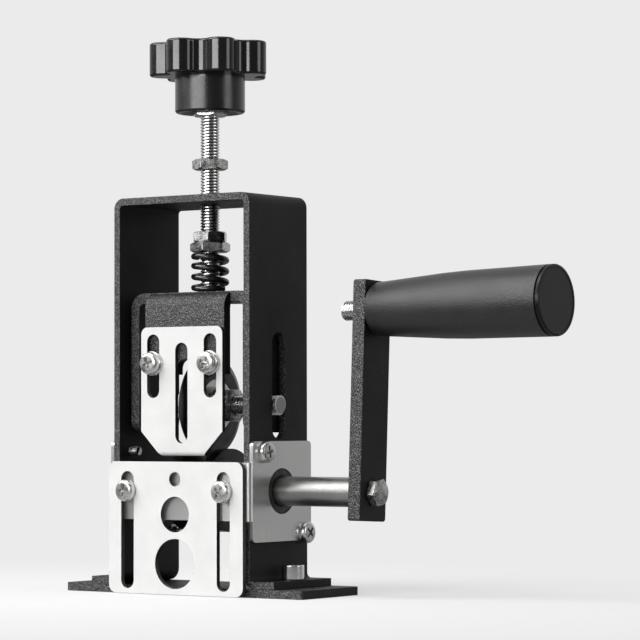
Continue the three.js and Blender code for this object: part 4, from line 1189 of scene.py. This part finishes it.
# Studio: a pale floor that fades into the pale background, a wide low softbox in front, one at the
# left and one high at the left, weak ones at the right and overhead, and the camera where the
# photograph was taken from. The room behind the camera is dim, so metal shows dark and light.
background = 0.83
ambient = 0.22
dim_room = 0.14
away_from_camera = (-0.6058, 0.7956, 0)
world = bpy.data.worlds.new("studio")
bpy.context.scene.world = world
world.use_nodes = True
sky = world.node_tree
rays = add_node(sky, "ShaderNodeLightPath").outputs
toward = coordinates(sky, "Generated")
ahead = add_node(sky, "ShaderNodeVectorMath", {0: toward, 1: away_from_camera}, operation="DOT_PRODUCT")
facing = spread(sky, ahead.outputs["Value"], -0.2, 1.0)
above = spread(sky, part_of(sky, toward, "Z"), -0.12, -0.02)
mirrored = spread(sky, reckon(sky, "MULTIPLY", facing, above), start=dim_room, end=background)
unseen = spread(sky, rays["Is Glossy Ray"], start=ambient, end=mirrored)
seen = reckon(sky, "MAXIMUM", rays["Is Camera Ray"], rays["Is Transmission Ray"])
sky_inputs = sky.nodes["Background"].inputs
sky.links.new(spread(sky, seen, start=unseen, end=background), sky_inputs["Strength"])
sky_inputs["Color"].default_value = (1, 1, 1, 1)
studio_aim = Vector((0.03, 0, 0.11))


def softbox(name, azimuth, elevation, distance, width, height, radiance):
    """A rectangular soft lamp aimed at the tool. Azimuth 0 is in front, and 90 to the right."""
    lamp = bpy.data.lights.new(name, "AREA")
    lamp.shape = "RECTANGLE"
    lamp.size = width
    lamp.size_y = height
    lamp.energy = radiance * math.pi * width * height
    obj = bpy.data.objects.new(name, lamp)
    bpy.context.scene.collection.objects.link(obj)
    turn, tilt = math.radians(azimuth), math.radians(elevation)
    away = Vector((math.sin(turn) * math.cos(tilt), -math.cos(turn) * math.cos(tilt), math.sin(tilt)))
    obj.location = studio_aim + distance * away
    obj.rotation_euler = away.to_track_quat("Z", "Y").to_euler()
    obj.visible_camera = False


softbox("key softbox", -5, 9, 1.1, 0.95, 0.24, 7.3)
softbox("left softbox", -46, 31, 1.1, 0.75, 0.6, 4.7)
softbox("high softbox", -30, 62, 1.1, 0.5, 0.4, 7.3)
softbox("side softbox", 98, 12, 1.2, 0.5, 0.7, 2.2)
softbox("top softbox", 60, 80, 1.2, 0.8, 0.8, 1.2)

studio_radius = 2.5
fade_start = 0.1
fade_end = 0.32
floor_glow = 0.2
floor = disc(96, studio_radius)
floor.name = "studio_floor"
tree, inputs, material = new_material("studio floor", 0.7, Specular_IOR_Level=0.0)
inputs["Base Color"].default_value = (0.8, 0.8, 0.8, 1)
inputs["Emission Color"].default_value = (1, 1, 1, 1)
distance = add_node(tree, "ShaderNodeVectorMath", {0: coordinates(tree)}, operation="LENGTH").outputs["Value"]
fade = spread(tree, distance, fade_start, fade_end, 0.5, 1.0)
looked_at = add_node(tree, "ShaderNodeLightPath").outputs["Is Camera Ray"]
tree.links.new(reckon(tree, "MULTIPLY", looked_at, floor_glow), inputs["Emission Strength"])
clear = add_node(tree, "ShaderNodeBsdfTransparent").outputs[0]
solid = tree.nodes["Principled BSDF"].outputs[0]
mixed = add_node(tree, "ShaderNodeMixShader", {0: fade, 1: solid, 2: clear}).outputs[0]
tree.links.new(mixed, tree.nodes["Material Output"].inputs["Surface"])
floor.data.materials.append(material)
floor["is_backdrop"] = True

camera_place = Vector((0.73962, -0.97135, 0.07185))
camera_right = Vector((0.81760514, 0.57577561, -0.00206706))
camera_up = Vector((0.02097465, -0.02619612, 0.99943675))
camera = bpy.data.objects.new("camera", bpy.data.cameras.new("camera"))
bpy.context.scene.collection.objects.link(camera)
camera.data.lens = 165.5
camera.data.clip_start = 0.05
turn = Matrix((camera_right, camera_up, camera_right.cross(camera_up))).transposed().to_4x4()
camera.matrix_world = Matrix.Translation(camera_place) @ turn
bpy.context.scene.camera = camera
bpy.context.scene.view_settings.view_transform = "Standard"

low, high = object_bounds()
